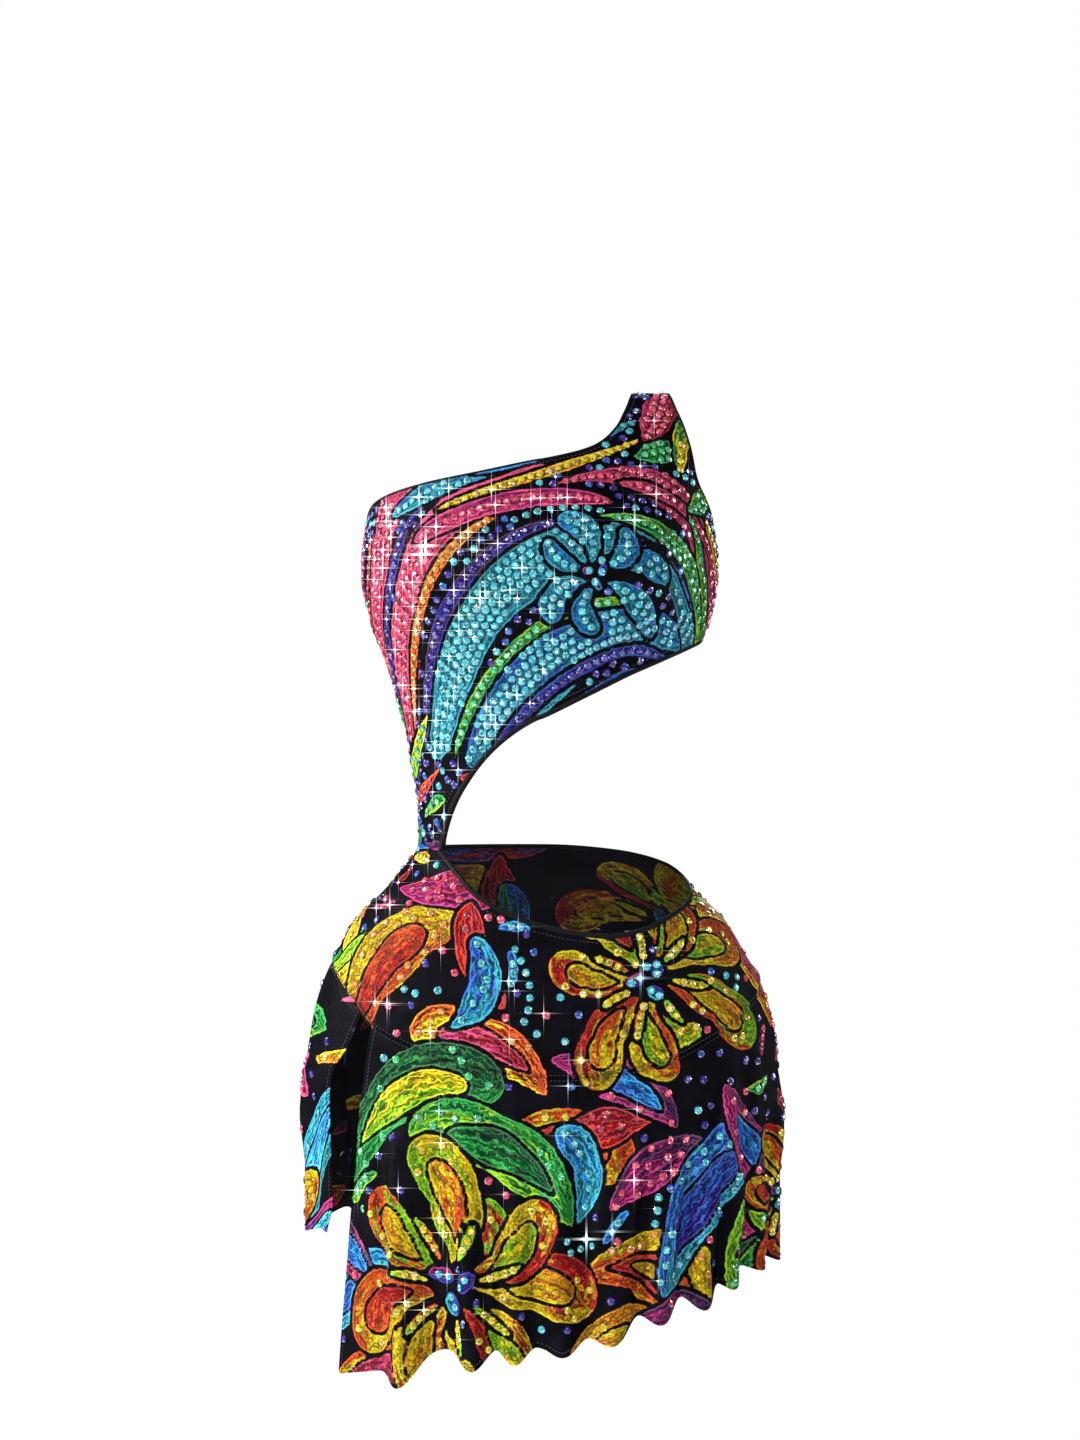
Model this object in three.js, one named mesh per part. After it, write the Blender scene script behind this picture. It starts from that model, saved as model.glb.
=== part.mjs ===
import * as THREE from 'three';

// One-shoulder mesh dress with an open waist and a flounced hem, hollow as it is worn.
// Millimetres, +Z up, the front faces -Y and the one strap lies over the shoulder at x = 0.
// The origin is on the underside of the strap, at the top of that shoulder.
// A place on the dress is a turn in degrees, 0 at the centre front and 90 at the strap's side,
// and a drop below the top of the shoulder.

const CLOTH = 1.5;
const SEAM_GAP = 0.3;
const BODY_CENTRE = -92;
const ROUNDNESS = 2.3;

const BUST = { turn: 34, turnWidth: 15, drop: 152, dropWidth: 38, lift: 8 };

const BINDING = { width: 5, thick: 1, tuck: 0.4, clear: 1 };

const BODICE_GRID = { turnStep: 7, rows: 20 };
const YOKE_GRID = { turnStep: 7, rows: 7 };
const FLOUNCE_FRONT_GRID = { turnStep: 2.2, rows: 8 };
const FLOUNCE_BACK_GRID = { turnStep: 3.4, rows: 8 };

// Inside sizes of the worn dress at each level: where its middle lies from the body's centre,
// its half width, and its depth before and behind the side seams.
const FORM = [
  { drop: 0, middle: 0, half: 148.5, front: 0, back: 0 },
  { drop: 25, middle: 0, half: 150.5, front: 40, back: 45 },
  { drop: 45, middle: 0, half: 148.5, front: 58, back: 65 },
  { drop: 70, middle: 0, half: 143.5, front: 77, back: 83 },
  { drop: 90, middle: 0, half: 139, front: 90, back: 91 },
  { drop: 110, middle: 0, half: 140.5, front: 102, back: 96 },
  { drop: 135, middle: 0, half: 143.5, front: 111, back: 97 },
  { drop: 152, middle: 0, half: 143.5, front: 113, back: 96 },
  { drop: 170, middle: 0, half: 140.5, front: 111, back: 94 },
  { drop: 190, middle: 0, half: 135.5, front: 105, back: 91 },
  { drop: 217, middle: 0, half: 124.5, front: 96, back: 87 },
  { drop: 250, middle: 0, half: 114.5, front: 89, back: 83 },
  { drop: 287, middle: 0, half: 105.5, front: 83, back: 78 },
  { drop: 324, middle: 0, half: 99.5, front: 79, back: 75.5 },
  { drop: 350, middle: 0, half: 97.5, front: 78, back: 74.5 },
  { drop: 369, middle: 0, half: 98.5, front: 79, back: 76 },
  { drop: 389, middle: 0, half: 111.5, front: 83, back: 83 },
  { drop: 414, middle: 0, half: 133.5, front: 87, back: 95 },
  { drop: 430, middle: 0, half: 149.5, front: 90, back: 105 },
  { drop: 459, middle: 0.5, half: 166.5, front: 93, back: 117 },
  { drop: 476, middle: 1.5, half: 175.5, front: 94, back: 122 },
  { drop: 496, middle: 2, half: 182.5, front: 95, back: 127 },
  { drop: 517, middle: 3, half: 187.5, front: 96, back: 131 },
  { drop: 550, middle: 3, half: 190.5, front: 97, back: 136 },
  { drop: 600, middle: 3, half: 190, front: 106, back: 141 },
  { drop: 650, middle: 3, half: 189, front: 114, back: 145 },
  { drop: 711, middle: 3, half: 187, front: 121, back: 149 },
  { drop: 805, middle: 3, half: 187, front: 128, back: 152 },
];

// Where the straight shoulder seam of the strap ends, at the neck and at the arm.
const STRAP = { neckTurn: 28.4, armTurn: 40.8 };

// The corner where the side strip meets the yoke at the open waist.
const STRIP_TURN = -52.5;

// Top edge of the bodice front: neckline, shoulder seam, then armhole.
const BODICE_TOP = [
  { turn: -90, drop: 104 },
  { turn: -71.6, drop: 92 },
  { turn: -40, drop: 79 },
  { turn: -16, drop: 69 },
  { turn: 4.4, drop: 56 },
  { turn: 12.8, drop: 49 },
  { turn: 17, drop: 42.7 },
  { turn: 21.4, drop: 30.5 },
  { turn: 24.5, drop: 16.4 },
  { turn: STRAP.neckTurn, drop: 0 },
  { turn: STRAP.armTurn, drop: 0 },
  { turn: 44, drop: 14 },
  { turn: 50.2, drop: 39.7 },
  { turn: 59.5, drop: 72.6 },
  { turn: 71.6, drop: 88 },
  { turn: 81.6, drop: 100 },
  { turn: 90, drop: 113 },
];

// Lower edge of the bodice front: the strip, then the slant to the far side.
const BODICE_BOTTOM = [
  { turn: STRIP_TURN, drop: 373.7 },
  { turn: -50.8, drop: 360.7 },
  { turn: -48, drop: 348.6 },
  { turn: -42.9, drop: 334.8 },
  { turn: -35.5, drop: 319.4 },
  { turn: -21.4, drop: 293.7 },
  { turn: -2.8, drop: 266.5 },
  { turn: 16.7, drop: 244 },
  { turn: 40, drop: 222.5 },
  { turn: 69, drop: 205.8 },
  { turn: 90, drop: 199 },
];

// Top edge of the yoke all the way round, from the strip's side seam to the same seam.
const WAIST = [
  { turn: -90, drop: 363 },
  { turn: STRIP_TURN, drop: 373.7 },
  { turn: -43.2, drop: 380.5 },
  { turn: -32, drop: 392 },
  { turn: -19.6, drop: 408.4 },
  { turn: -7.2, drop: 423 },
  { turn: 6.6, drop: 436.6 },
  { turn: 18, drop: 440 },
  { turn: 28.5, drop: 435.6 },
  { turn: 44.2, drop: 424.4 },
  { turn: 62.6, drop: 414 },
  { turn: 90, drop: 397 },
  { turn: 112, drop: 387 },
  { turn: 145, drop: 378 },
  { turn: 180, drop: 374 },
  { turn: 180 - STRIP_TURN, drop: 373.7 },
  { turn: 270, drop: 363 },
];

// Seam between the yoke and the flounce all the way round.
const HIP_SEAM = [
  { turn: -90, drop: 459 },
  { turn: -67.4, drop: 475 },
  { turn: -54, drop: 492 },
  { turn: -44.2, drop: 510.6 },
  { turn: -34, drop: 523 },
  { turn: -12.5, drop: 543.5 },
  { turn: 2.7, drop: 550.5 },
  { turn: 23.8, drop: 541 },
  { turn: 42.8, drop: 520 },
  { turn: 62.9, drop: 497 },
  { turn: 90, drop: 476 },
  { turn: 120, drop: 462 },
  { turn: 180, drop: 452 },
  { turn: 235, drop: 452 },
  { turn: 270, drop: 459 },
];

// The hem between its folds.
const HEM = [
  { turn: -61.5, drop: 790 },
  { turn: -38, drop: 779 },
  { turn: -25, drop: 763 },
  { turn: -9, drop: 757 },
  { turn: 8, drop: 748 },
  { turn: 20, drop: 730 },
  { turn: 42, drop: 709 },
  { turn: 54, drop: 700 },
  { turn: 90, drop: 694 },
  { turn: 180, drop: 684 },
  { turn: 262, drop: 672 },
  { turn: 289, drop: 680 },
];

// Each fold of the flounce at the hem: how wide it is to each side, how far it stands out
// and how much lower it hangs.
const FOLDS = [
  { turn: -32.6, width: 5, out: 16, fall: 20 },
  { turn: -14.3, width: 3.6, out: 13, fall: 19 },
  { turn: -5, width: 2.8, out: 12, fall: 17 },
  { turn: 3.2, width: 3.4, out: 14, fall: 15 },
  { turn: 14.1, width: 4.2, out: 15, fall: 18 },
  { turn: 25.8, width: 4.2, out: 15, fall: 19 },
  { turn: 38.4, width: 4.4, out: 15, fall: 21 },
  { turn: 49, width: 3.8, out: 14, fall: 16 },
  { turn: 62, width: 5, out: 14, fall: 9 },
  { turn: 78, width: 5, out: 12, fall: 8 },
  { turn: 103, width: 6, out: 15, fall: 12 },
  { turn: 122, width: 7, out: 17, fall: 15 },
  { turn: 143, width: 6, out: 15, fall: 11 },
  { turn: 160, width: 5, out: 16, fall: 14 },
  { turn: 175, width: 5, out: 14, fall: 12 },
  { turn: 191, width: 5.5, out: 17, fall: 16 },
  { turn: 209, width: 6, out: 15, fall: 12 },
  { turn: 229, width: 7, out: 16, fall: 15 },
  { turn: 251, width: 6, out: 14, fall: 11 },
  { turn: 273, width: 6, out: 11, fall: 8 },
];
const FOLD_START = 1.15;
const FOLD_TUCK = 5;

// Turn of each slit edge on its way from the hip seam, 0, to the hem, 1.
const SLIT_FRONT = [
  { along: 0, turn: -44.2 },
  { along: 0.35, turn: -48.7 },
  { along: 0.6, turn: -54 },
  { along: 1, turn: -61.5 },
];
const SLIT_BACK = [
  { along: 0, turn: 310.5 },
  { along: 0.15, turn: 306 },
  { along: 0.28, turn: 298.3 },
  { along: 0.4, turn: 296 },
  { along: 0.85, turn: 295.7 },
  { along: 1, turn: 289 },
];
const SLIT_REACH = 70;

const CLOTH_FINISH = { roughness: 0.55, metalness: 0 };
const BODICE_COLOUR = '#4a4c78';
const YOKE_COLOUR = '#5a4a2e';
const FLOUNCE_COLOUR = '#3d4440';
const BINDING_COLOUR = '#0d0d10';

const radians = THREE.MathUtils.degToRad;
const mix = THREE.MathUtils.lerp;

// A smooth curve through a table's rows that never swings past them.
function smoothColumn(rows, key, column, scaleKey = (value) => value) {
  const at = rows.map((row) => scaleKey(row[key]));
  const to = rows.map((row) => row[column]);
  const last = rows.length - 1;
  const step = at.slice(1).map((value, i) => value - at[i]);
  const rise = step.map((length, i) => (to[i + 1] - to[i]) / length);
  const slope = at.map((_, i) => {
    if (i === 0) return rise[0];
    if (i === last) return rise[last - 1];
    if (rise[i - 1] * rise[i] <= 0) return 0;
    const before = 2 * step[i] + step[i - 1];
    const after = step[i] + 2 * step[i - 1];
    return (before + after) / (before / rise[i - 1] + after / rise[i]);
  });
  return (value) => {
    let i = 0;
    while (i < last - 1 && value > at[i + 1]) i += 1;
    const t = THREE.MathUtils.clamp((value - at[i]) / step[i], 0, 1);
    const t2 = t * t;
    const t3 = t2 * t;
    const ends = (2 * t3 - 3 * t2 + 1) * to[i] + (3 * t2 - 2 * t3) * to[i + 1];
    return ends + step[i] * ((t3 - 2 * t2 + t) * slope[i] + (t3 - t2) * slope[i + 1]);
  };
}

const formMiddle = smoothColumn(FORM, 'drop', 'middle', Math.sqrt);
const formHalf = smoothColumn(FORM, 'drop', 'half', Math.sqrt);
const formFront = smoothColumn(FORM, 'drop', 'front', Math.sqrt);
const formBack = smoothColumn(FORM, 'drop', 'back', Math.sqrt);

function bell(distance, width) {
  return Math.exp(-((distance / width) ** 2));
}

function bustLift(turn, drop) {
  const cups = bell(turn - BUST.turn, BUST.turnWidth) + bell(turn + BUST.turn, BUST.turnWidth);
  return BUST.lift * bell(drop - BUST.drop, BUST.dropWidth) * cups;
}

// A point on the inside of the worn dress. Its level is the square root of the drop, which
// keeps the top of the shoulder round.
function formPoint(turn, level) {
  const sine = Math.sin(radians(turn));
  const cosine = Math.cos(radians(turn));
  const across = Math.sign(sine) * Math.abs(sine) ** (2 / ROUNDNESS);
  const along = Math.abs(cosine) ** (2 / ROUNDNESS);
  const drop = level * level;
  const x = BODY_CENTRE + formMiddle(level) + formHalf(level) * across;
  const y = cosine >= 0
    ? -(formFront(level) + bustLift(turn, drop)) * along
    : formBack(level) * along;
  return new THREE.Vector3(x, y, -drop);
}

// The outward direction of a surface given by two running values.
function outward(surface, a, b, aStep, bStep) {
  const alongA = surface(a + aStep, b).sub(surface(a - aStep, b));
  const alongB = surface(a, b + bStep).sub(surface(a, b - bStep));
  return alongB.cross(alongA).normalize();
}

const TURN_STEP = 0.4;
const LEVEL_STEP = 0.05;
const ALONG_STEP = 0.01;

function formOutward(turn, level) {
  return outward(formPoint, turn, level, TURN_STEP, LEVEL_STEP);
}

// The turns of a panel's columns: its corners, and even steps between them.
function columnTurns(corners, turnStep) {
  const turns = [corners[0]];
  for (let i = 1; i < corners.length; i += 1) {
    const from = corners[i - 1];
    const count = Math.max(1, Math.round((corners[i] - from) / turnStep));
    for (let k = 1; k <= count; k += 1) turns.push(mix(from, corners[i], k / count));
  }
  return turns;
}

// A closed solid from two like grids of points, the inside and the outside of a wall.
function wallGeometry(inside, outside) {
  const columns = inside.length;
  const rows = inside[0].length;
  const points = [...inside.flat(), ...outside.flat()];
  const skin = columns * rows;
  const index = [];
  const quad = (a, b, c, d) => index.push(a, b, c, a, c, d);
  const spot = (i, j, layer) => layer * skin + i * rows + j;
  for (let i = 0; i + 1 < columns; i += 1) {
    for (let j = 0; j + 1 < rows; j += 1) {
      quad(spot(i, j, 1), spot(i, j + 1, 1), spot(i + 1, j + 1, 1), spot(i + 1, j, 1));
      quad(spot(i, j, 0), spot(i + 1, j, 0), spot(i + 1, j + 1, 0), spot(i, j + 1, 0));
    }
    quad(spot(i, 0, 0), spot(i, 0, 1), spot(i + 1, 0, 1), spot(i + 1, 0, 0));
    const end = rows - 1;
    quad(spot(i, end, 0), spot(i + 1, end, 0), spot(i + 1, end, 1), spot(i, end, 1));
  }
  for (let j = 0; j + 1 < rows; j += 1) {
    quad(spot(0, j, 0), spot(0, j + 1, 0), spot(0, j + 1, 1), spot(0, j, 1));
    const end = columns - 1;
    quad(spot(end, j, 0), spot(end, j, 1), spot(end, j + 1, 1), spot(end, j + 1, 0));
  }
  const geometry = new THREE.BufferGeometry();
  geometry.setAttribute('position', new THREE.Float32BufferAttribute(points.flatMap((p) => p.toArray()), 3));
  geometry.setIndex(index);
  geometry.computeVertexNormals();
  return geometry;
}

function clothMesh(name, geometry, colour) {
  const material = new THREE.MeshStandardMaterial({ color: colour, ...CLOTH_FINISH });
  const mesh = new THREE.Mesh(geometry, material);
  mesh.name = name;
  return mesh;
}

// A panel that lies on the form between a top and a lower edge. Front and back panels stand
// half a seam gap to their own side, which parts them at the shoulder and side seams.
function fittedPanel(corners, grid, topDrop, bottomDrop, side) {
  const inside = [];
  const outside = [];
  for (const turn of columnTurns(corners, grid.turnStep)) {
    const top = Math.sqrt(topDrop(turn));
    const bottom = Math.sqrt(bottomDrop(turn));
    const innerColumn = [];
    const outerColumn = [];
    for (let j = 0; j <= grid.rows; j += 1) {
      const level = mix(top, bottom, j / grid.rows);
      const point = formPoint(turn, level);
      point.y += side * SEAM_GAP / 2;
      innerColumn.push(point);
      outerColumn.push(point.clone().addScaledVector(formOutward(turn, level), CLOTH));
    }
    inside.push(innerColumn);
    outside.push(outerColumn);
  }
  return wallGeometry(inside, outside);
}

const bodiceTop = smoothColumn(BODICE_TOP, 'turn', 'drop');
const bodiceBottom = smoothColumn(BODICE_BOTTOM, 'turn', 'drop');
const waist = smoothColumn(WAIST, 'turn', 'drop');
const hipSeamOnce = smoothColumn(HIP_SEAM, 'turn', 'drop');
const hipSeam = (turn) => hipSeamOnce(turn > 270 ? turn - 360 : turn);
const hemBetween = smoothColumn(HEM, 'turn', 'drop');
const slitFront = smoothColumn(SLIT_FRONT, 'along', 'turn');
const slitBack = smoothColumn(SLIT_BACK, 'along', 'turn');

// The back of the bodice has the outline of the front.
const mirrored = (turn) => 180 - turn;
const frontTurn = (turn) => (turn > 90 ? mirrored(turn) : turn);

const FRONT = -1;
const BACK = 1;
const STRIP_TURNS = [STRIP_TURN, -51.6, -50.8, -49.5, -48];
const STRAP_TURNS = [17, 24.5, STRAP.neckTurn, STRAP.armTurn, 44, 59.5];
const BODICE_CORNERS = [-90, ...STRIP_TURNS, ...STRAP_TURNS, 90];

// The strip ends in its seam with the yoke, and the rest of the bodice in its open edge.
function bodiceEnd(turn) {
  const onStrip = frontTurn(turn) <= STRIP_TURN;
  return onStrip ? waist(turn) - SEAM_GAP : bodiceBottom(frontTurn(turn));
}

function bodiceFront() {
  return fittedPanel(BODICE_CORNERS, BODICE_GRID, bodiceTop, bodiceEnd, FRONT);
}

function bodiceBack() {
  const top = (turn) => bodiceTop(frontTurn(turn));
  const corners = BODICE_CORNERS.map(mirrored).reverse();
  return fittedPanel(corners, BODICE_GRID, top, bodiceEnd, BACK);
}

function yokeFront() {
  const corners = [-90, STRIP_TURN, 18, 90];
  return fittedPanel(corners, YOKE_GRID, waist, hipSeam, FRONT);
}

function yokeBack() {
  const corners = [90, 180, 180 - STRIP_TURN, 270];
  return fittedPanel(corners, YOKE_GRID, waist, hipSeam, BACK);
}

function foldSum(turn, column) {
  return FOLDS.reduce((sum, fold) => sum + fold[column] * bell(turn - fold.turn, fold.width), 0);
}

// A point on the inside of the flounce, from the hip seam at along 0 to the hem at 1.
function flouncePoint(seamTurn, along, slitTurn, slitAlongTurn) {
  const near = Math.max(0, 1 - Math.abs(seamTurn - slitTurn) / SLIT_REACH) ** 2;
  const turn = seamTurn + near * (slitAlongTurn(along) - slitTurn);
  const hemTurn = seamTurn + near * (slitAlongTurn(1) - slitTurn);
  const hem = hemBetween(hemTurn) + foldSum(hemTurn, 'fall');
  const drop = mix(hipSeam(seamTurn) + SEAM_GAP, hem, along);
  const level = Math.sqrt(drop);
  const grow = along ** FOLD_START;
  const out = grow * (foldSum(turn, 'out') - FOLD_TUCK);
  return formPoint(turn, level).addScaledVector(formOutward(turn, level), out);
}

function flouncePanel(corners, grid, slitTurn, slitAlongTurn, side) {
  const surface = (turn, along) => flouncePoint(turn, along, slitTurn, slitAlongTurn);
  const inside = [];
  const outside = [];
  for (const turn of columnTurns(corners, grid.turnStep)) {
    const innerColumn = [];
    const outerColumn = [];
    for (let j = 0; j <= grid.rows; j += 1) {
      const along = j / grid.rows;
      const point = surface(turn, along);
      const facing = outward(surface, turn, Math.max(along, ALONG_STEP), TURN_STEP, ALONG_STEP);
      point.y += side * SEAM_GAP / 2;
      innerColumn.push(point);
      outerColumn.push(point.clone().addScaledVector(facing, CLOTH));
    }
    inside.push(innerColumn);
    outside.push(outerColumn);
  }
  return wallGeometry(inside, outside);
}

function flounceFront() {
  return flouncePanel([slitFront(0), 90], FLOUNCE_FRONT_GRID, slitFront(0), slitFront, FRONT);
}

function flounceBack() {
  return flouncePanel([90, slitBack(0)], FLOUNCE_BACK_GRID, slitBack(0), slitBack, BACK);
}

// The binding follows the open waist: along the bodice from the strip's front corner round
// the strap's side to its back corner, then home along the yoke.
function bindingRoute() {
  const turnStep = 4;
  const toSide = columnTurns([...STRIP_TURNS, 90], turnStep);
  const aroundBodice = [...toSide, ...toSide.slice(0, -1).reverse().map(mirrored)];
  const aroundYoke = columnTurns([STRIP_TURN, 18, 90, 180, mirrored(STRIP_TURN)], turnStep);
  return [
    ...aroundBodice.map((turn) => ({ turn, drop: bodiceBottom(frontTurn(turn)) })),
    ...aroundYoke.slice(1, -1).reverse().map((turn) => ({ turn, drop: waist(turn) })),
  ];
}

// The place on the form that lies at a small offset from another, along the surface.
function stepOnForm(turn, level, offset) {
  const byTurn = formPoint(turn + TURN_STEP, level).sub(formPoint(turn - TURN_STEP, level));
  const byLevel = formPoint(turn, level + LEVEL_STEP).sub(formPoint(turn, level - LEVEL_STEP));
  byTurn.divideScalar(2 * TURN_STEP);
  byLevel.divideScalar(2 * LEVEL_STEP);
  const cross = byTurn.dot(byLevel);
  const area = byTurn.lengthSq() * byLevel.lengthSq() - cross * cross;
  const u = offset.dot(byTurn);
  const v = offset.dot(byLevel);
  return {
    turn: turn + (u * byLevel.lengthSq() - v * cross) / area,
    level: level + (v * byTurn.lengthSq() - u * cross) / area,
  };
}

function bindingGeometry() {
  const stops = bindingRoute().map(({ turn, drop }) => {
    const level = Math.sqrt(drop);
    return { turn, level, at: formPoint(turn, level), facing: formOutward(turn, level) };
  });
  const count = stops.length;
  const intoCloth = (k) => {
    const { at, facing } = stops[k];
    const before = at.clone().sub(stops[(k + count - 1) % count].at);
    const after = stops[(k + 1) % count].at.clone().sub(at);
    const sideBefore = facing.clone().cross(before).normalize();
    const sideAfter = facing.clone().cross(after).normalize();
    const across = sideBefore.clone().add(sideAfter).normalize();
    return across.divideScalar(across.dot(sideAfter));
  };
  const base = CLOTH + BINDING.clear;
  const corners = [
    { across: BINDING.tuck, out: base },
    { across: BINDING.width, out: base },
    { across: BINDING.width, out: base + BINDING.thick },
    { across: BINDING.tuck, out: base + BINDING.thick },
  ];
  const points = stops.flatMap((stop, k) => corners.map(({ across, out }) => {
    const spot = stepOnForm(stop.turn, stop.level, intoCloth(k).multiplyScalar(across));
    return formPoint(spot.turn, spot.level).addScaledVector(formOutward(spot.turn, spot.level), out);
  }));
  const index = [];
  for (let k = 0; k < count; k += 1) {
    const next = (k + 1) % count;
    for (let c = 0; c < 4; c += 1) {
      const a = 4 * k + c;
      const b = 4 * k + (c + 1) % 4;
      const d = 4 * next + c;
      const e = 4 * next + (c + 1) % 4;
      index.push(a, b, e, a, e, d);
    }
  }
  const geometry = new THREE.BufferGeometry();
  geometry.setAttribute('position', new THREE.Float32BufferAttribute(points.flatMap((p) => p.toArray()), 3));
  geometry.setIndex(index);
  geometry.computeVertexNormals();
  return geometry;
}

const group = new THREE.Group();
group.add(
  clothMesh('bodice_front', bodiceFront(), BODICE_COLOUR),
  clothMesh('bodice_back', bodiceBack(), BODICE_COLOUR),
  clothMesh('yoke_front', yokeFront(), YOKE_COLOUR),
  clothMesh('yoke_back', yokeBack(), YOKE_COLOUR),
  clothMesh('flounce_front', flounceFront(), FLOUNCE_COLOUR),
  clothMesh('flounce_back', flounceBack(), FLOUNCE_COLOUR),
  clothMesh('cutout_binding', bindingGeometry(), BINDING_COLOUR),
);

export default group;
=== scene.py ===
"""The looks of a one-shoulder printed mesh dress, set all over with small faceted stones.

Lengths in the tables are millimetres and become metres where a mesh is made. A place on the
dress is a turn in degrees, 0 at the centre front and 90 at the strap's side, and a drop below
the top of the shoulder. A place on a panel's print is its distance along and down the cloth.
"""
import math

import bpy
import numpy as np
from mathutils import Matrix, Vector
from mathutils.kdtree import KDTree


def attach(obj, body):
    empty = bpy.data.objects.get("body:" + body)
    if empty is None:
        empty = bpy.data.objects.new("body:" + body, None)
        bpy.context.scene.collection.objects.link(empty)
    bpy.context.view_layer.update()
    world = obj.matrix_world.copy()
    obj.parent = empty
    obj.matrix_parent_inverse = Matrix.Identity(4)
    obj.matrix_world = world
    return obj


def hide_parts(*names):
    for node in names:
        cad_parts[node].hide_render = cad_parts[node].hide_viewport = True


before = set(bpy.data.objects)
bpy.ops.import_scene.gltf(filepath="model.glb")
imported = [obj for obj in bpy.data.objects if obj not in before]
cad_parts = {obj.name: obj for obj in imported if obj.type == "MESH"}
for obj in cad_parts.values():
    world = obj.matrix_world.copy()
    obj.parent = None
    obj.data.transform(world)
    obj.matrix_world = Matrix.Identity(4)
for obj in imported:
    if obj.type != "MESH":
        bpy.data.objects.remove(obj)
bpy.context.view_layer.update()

MM = 0.001
FILL_SEED, STONE_SEED = 4, 11
# The gap between two panels and the wall of the solids, as in the part itself.
SEAM_GAP = 0.3
CAD_WALL = 1.5
BODY_CENTRE = -92
ROUNDNESS = 2.3
BUST_TURN, BUST_TURN_WIDTH = 34, 15
BUST_DROP, BUST_DROP_WIDTH, BUST_LIFT = 152, 38, 8

# Inside sizes of the worn dress at each level.
FORM = np.array([
    # drop, middle, half width, front depth, back depth
    (0, 0, 148.5, 0, 0),
    (25, 0, 150.5, 40, 45),
    (45, 0, 148.5, 58, 65),
    (70, 0, 143.5, 77, 83),
    (90, 0, 139, 90, 91),
    (110, 0, 140.5, 102, 96),
    (135, 0, 143.5, 111, 97),
    (152, 0, 143.5, 113, 96),
    (170, 0, 140.5, 111, 94),
    (190, 0, 135.5, 105, 91),
    (217, 0, 124.5, 96, 87),
    (250, 0, 114.5, 89, 83),
    (287, 0, 105.5, 83, 78),
    (324, 0, 99.5, 79, 75.5),
    (350, 0, 97.5, 78, 74.5),
    (369, 0, 98.5, 79, 76),
    (389, 0, 111.5, 83, 83),
    (414, 0, 133.5, 87, 95),
    (430, 0, 149.5, 90, 105),
    (459, 0.5, 166.5, 93, 117),
    (476, 1.5, 175.5, 94, 122),
    (496, 2, 182.5, 95, 127),
    (517, 3, 187.5, 96, 131),
    (550, 3, 190.5, 97, 136),
    (600, 3, 190, 106, 141),
    (650, 3, 189, 114, 145),
    (711, 3, 187, 121, 149),
    (805, 3, 187, 128, 152),
], float)

STRAP_NECK_TURN, STRAP_ARM_TURN = 28.4, 40.8
STRIP_TURN = -52.5

# Edges as rows of turn and drop.
BODICE_TOP = [
    (-90, 104), (-71.6, 92), (-40, 79), (-16, 69), (4.4, 56), (12.8, 49), (17, 42.7),
    (21.4, 30.5), (24.5, 16.4), (STRAP_NECK_TURN, 0), (STRAP_ARM_TURN, 0), (44, 14),
    (50.2, 39.7), (59.5, 72.6), (71.6, 88), (81.6, 100), (90, 113),
]
BODICE_BOTTOM = [
    (STRIP_TURN, 373.7), (-50.8, 360.7), (-48, 348.6), (-42.9, 334.8), (-35.5, 319.4),
    (-21.4, 293.7), (-2.8, 266.5), (16.7, 244), (40, 222.5), (69, 205.8), (90, 199),
]
WAIST = [
    (-90, 363), (STRIP_TURN, 373.7), (-43.2, 380.5), (-32, 392), (-19.6, 408.4), (-7.2, 423),
    (6.6, 436.6), (18, 440), (28.5, 435.6), (44.2, 424.4), (62.6, 414), (90, 397), (112, 387),
    (145, 378), (180, 374), (180 - STRIP_TURN, 373.7), (270, 363),
]
HIP_SEAM = [
    (-90, 459), (-67.4, 475), (-54, 492), (-44.2, 510.6), (-34, 523), (-12.5, 543.5),
    (2.7, 550.5), (23.8, 541), (42.8, 520), (62.9, 497), (90, 476), (120, 462), (180, 452),
    (235, 452), (270, 459),
]
HEM = [
    (-61.5, 790), (-38, 779), (-25, 763), (-9, 757), (8, 748), (20, 730), (42, 709),
    (54, 700), (90, 694), (180, 684), (262, 672), (289, 680),
]

# Folds of the flounce at the hem: turn, width to each side, how far out, how much lower.
FOLDS = np.array([
    (-32.6, 5, 16, 20), (-14.3, 3.6, 13, 19), (-5, 2.8, 12, 17), (3.2, 3.4, 14, 15),
    (14.1, 4.2, 15, 18), (25.8, 4.2, 15, 19), (38.4, 4.4, 15, 21), (49, 3.8, 14, 16),
    (62, 5, 14, 9), (78, 5, 12, 8), (103, 6, 15, 12), (122, 7, 17, 15), (143, 6, 15, 11),
    (160, 5, 16, 14), (175, 5, 14, 12), (191, 5.5, 17, 16), (209, 6, 15, 12),
    (229, 7, 16, 15), (251, 6, 14, 11), (273, 6, 11, 8),
], float)
# How a fold grows from the seam to the hem, and how far in the cloth lies between folds.
FOLD_START, FOLD_TUCK = 1.15, 5

# Slit edges as rows of the way from the hip seam to the hem, and turn.
SLIT_FRONT = [(0, -44.2), (0.35, -48.7), (0.6, -54), (1, -61.5)]
SLIT_BACK = [(0, 310.5), (0.15, 306), (0.28, 298.3), (0.4, 296), (0.85, 295.7), (1, 289)]
SLIT_REACH = 70

# How thick the cloth is drawn, and how far apart the points of its grid are.
CLOTH_THICK = 0.5
CELL = 2.0


def unit(vectors):
    return vectors / np.linalg.norm(vectors, axis=-1, keepdims=True)


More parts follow.
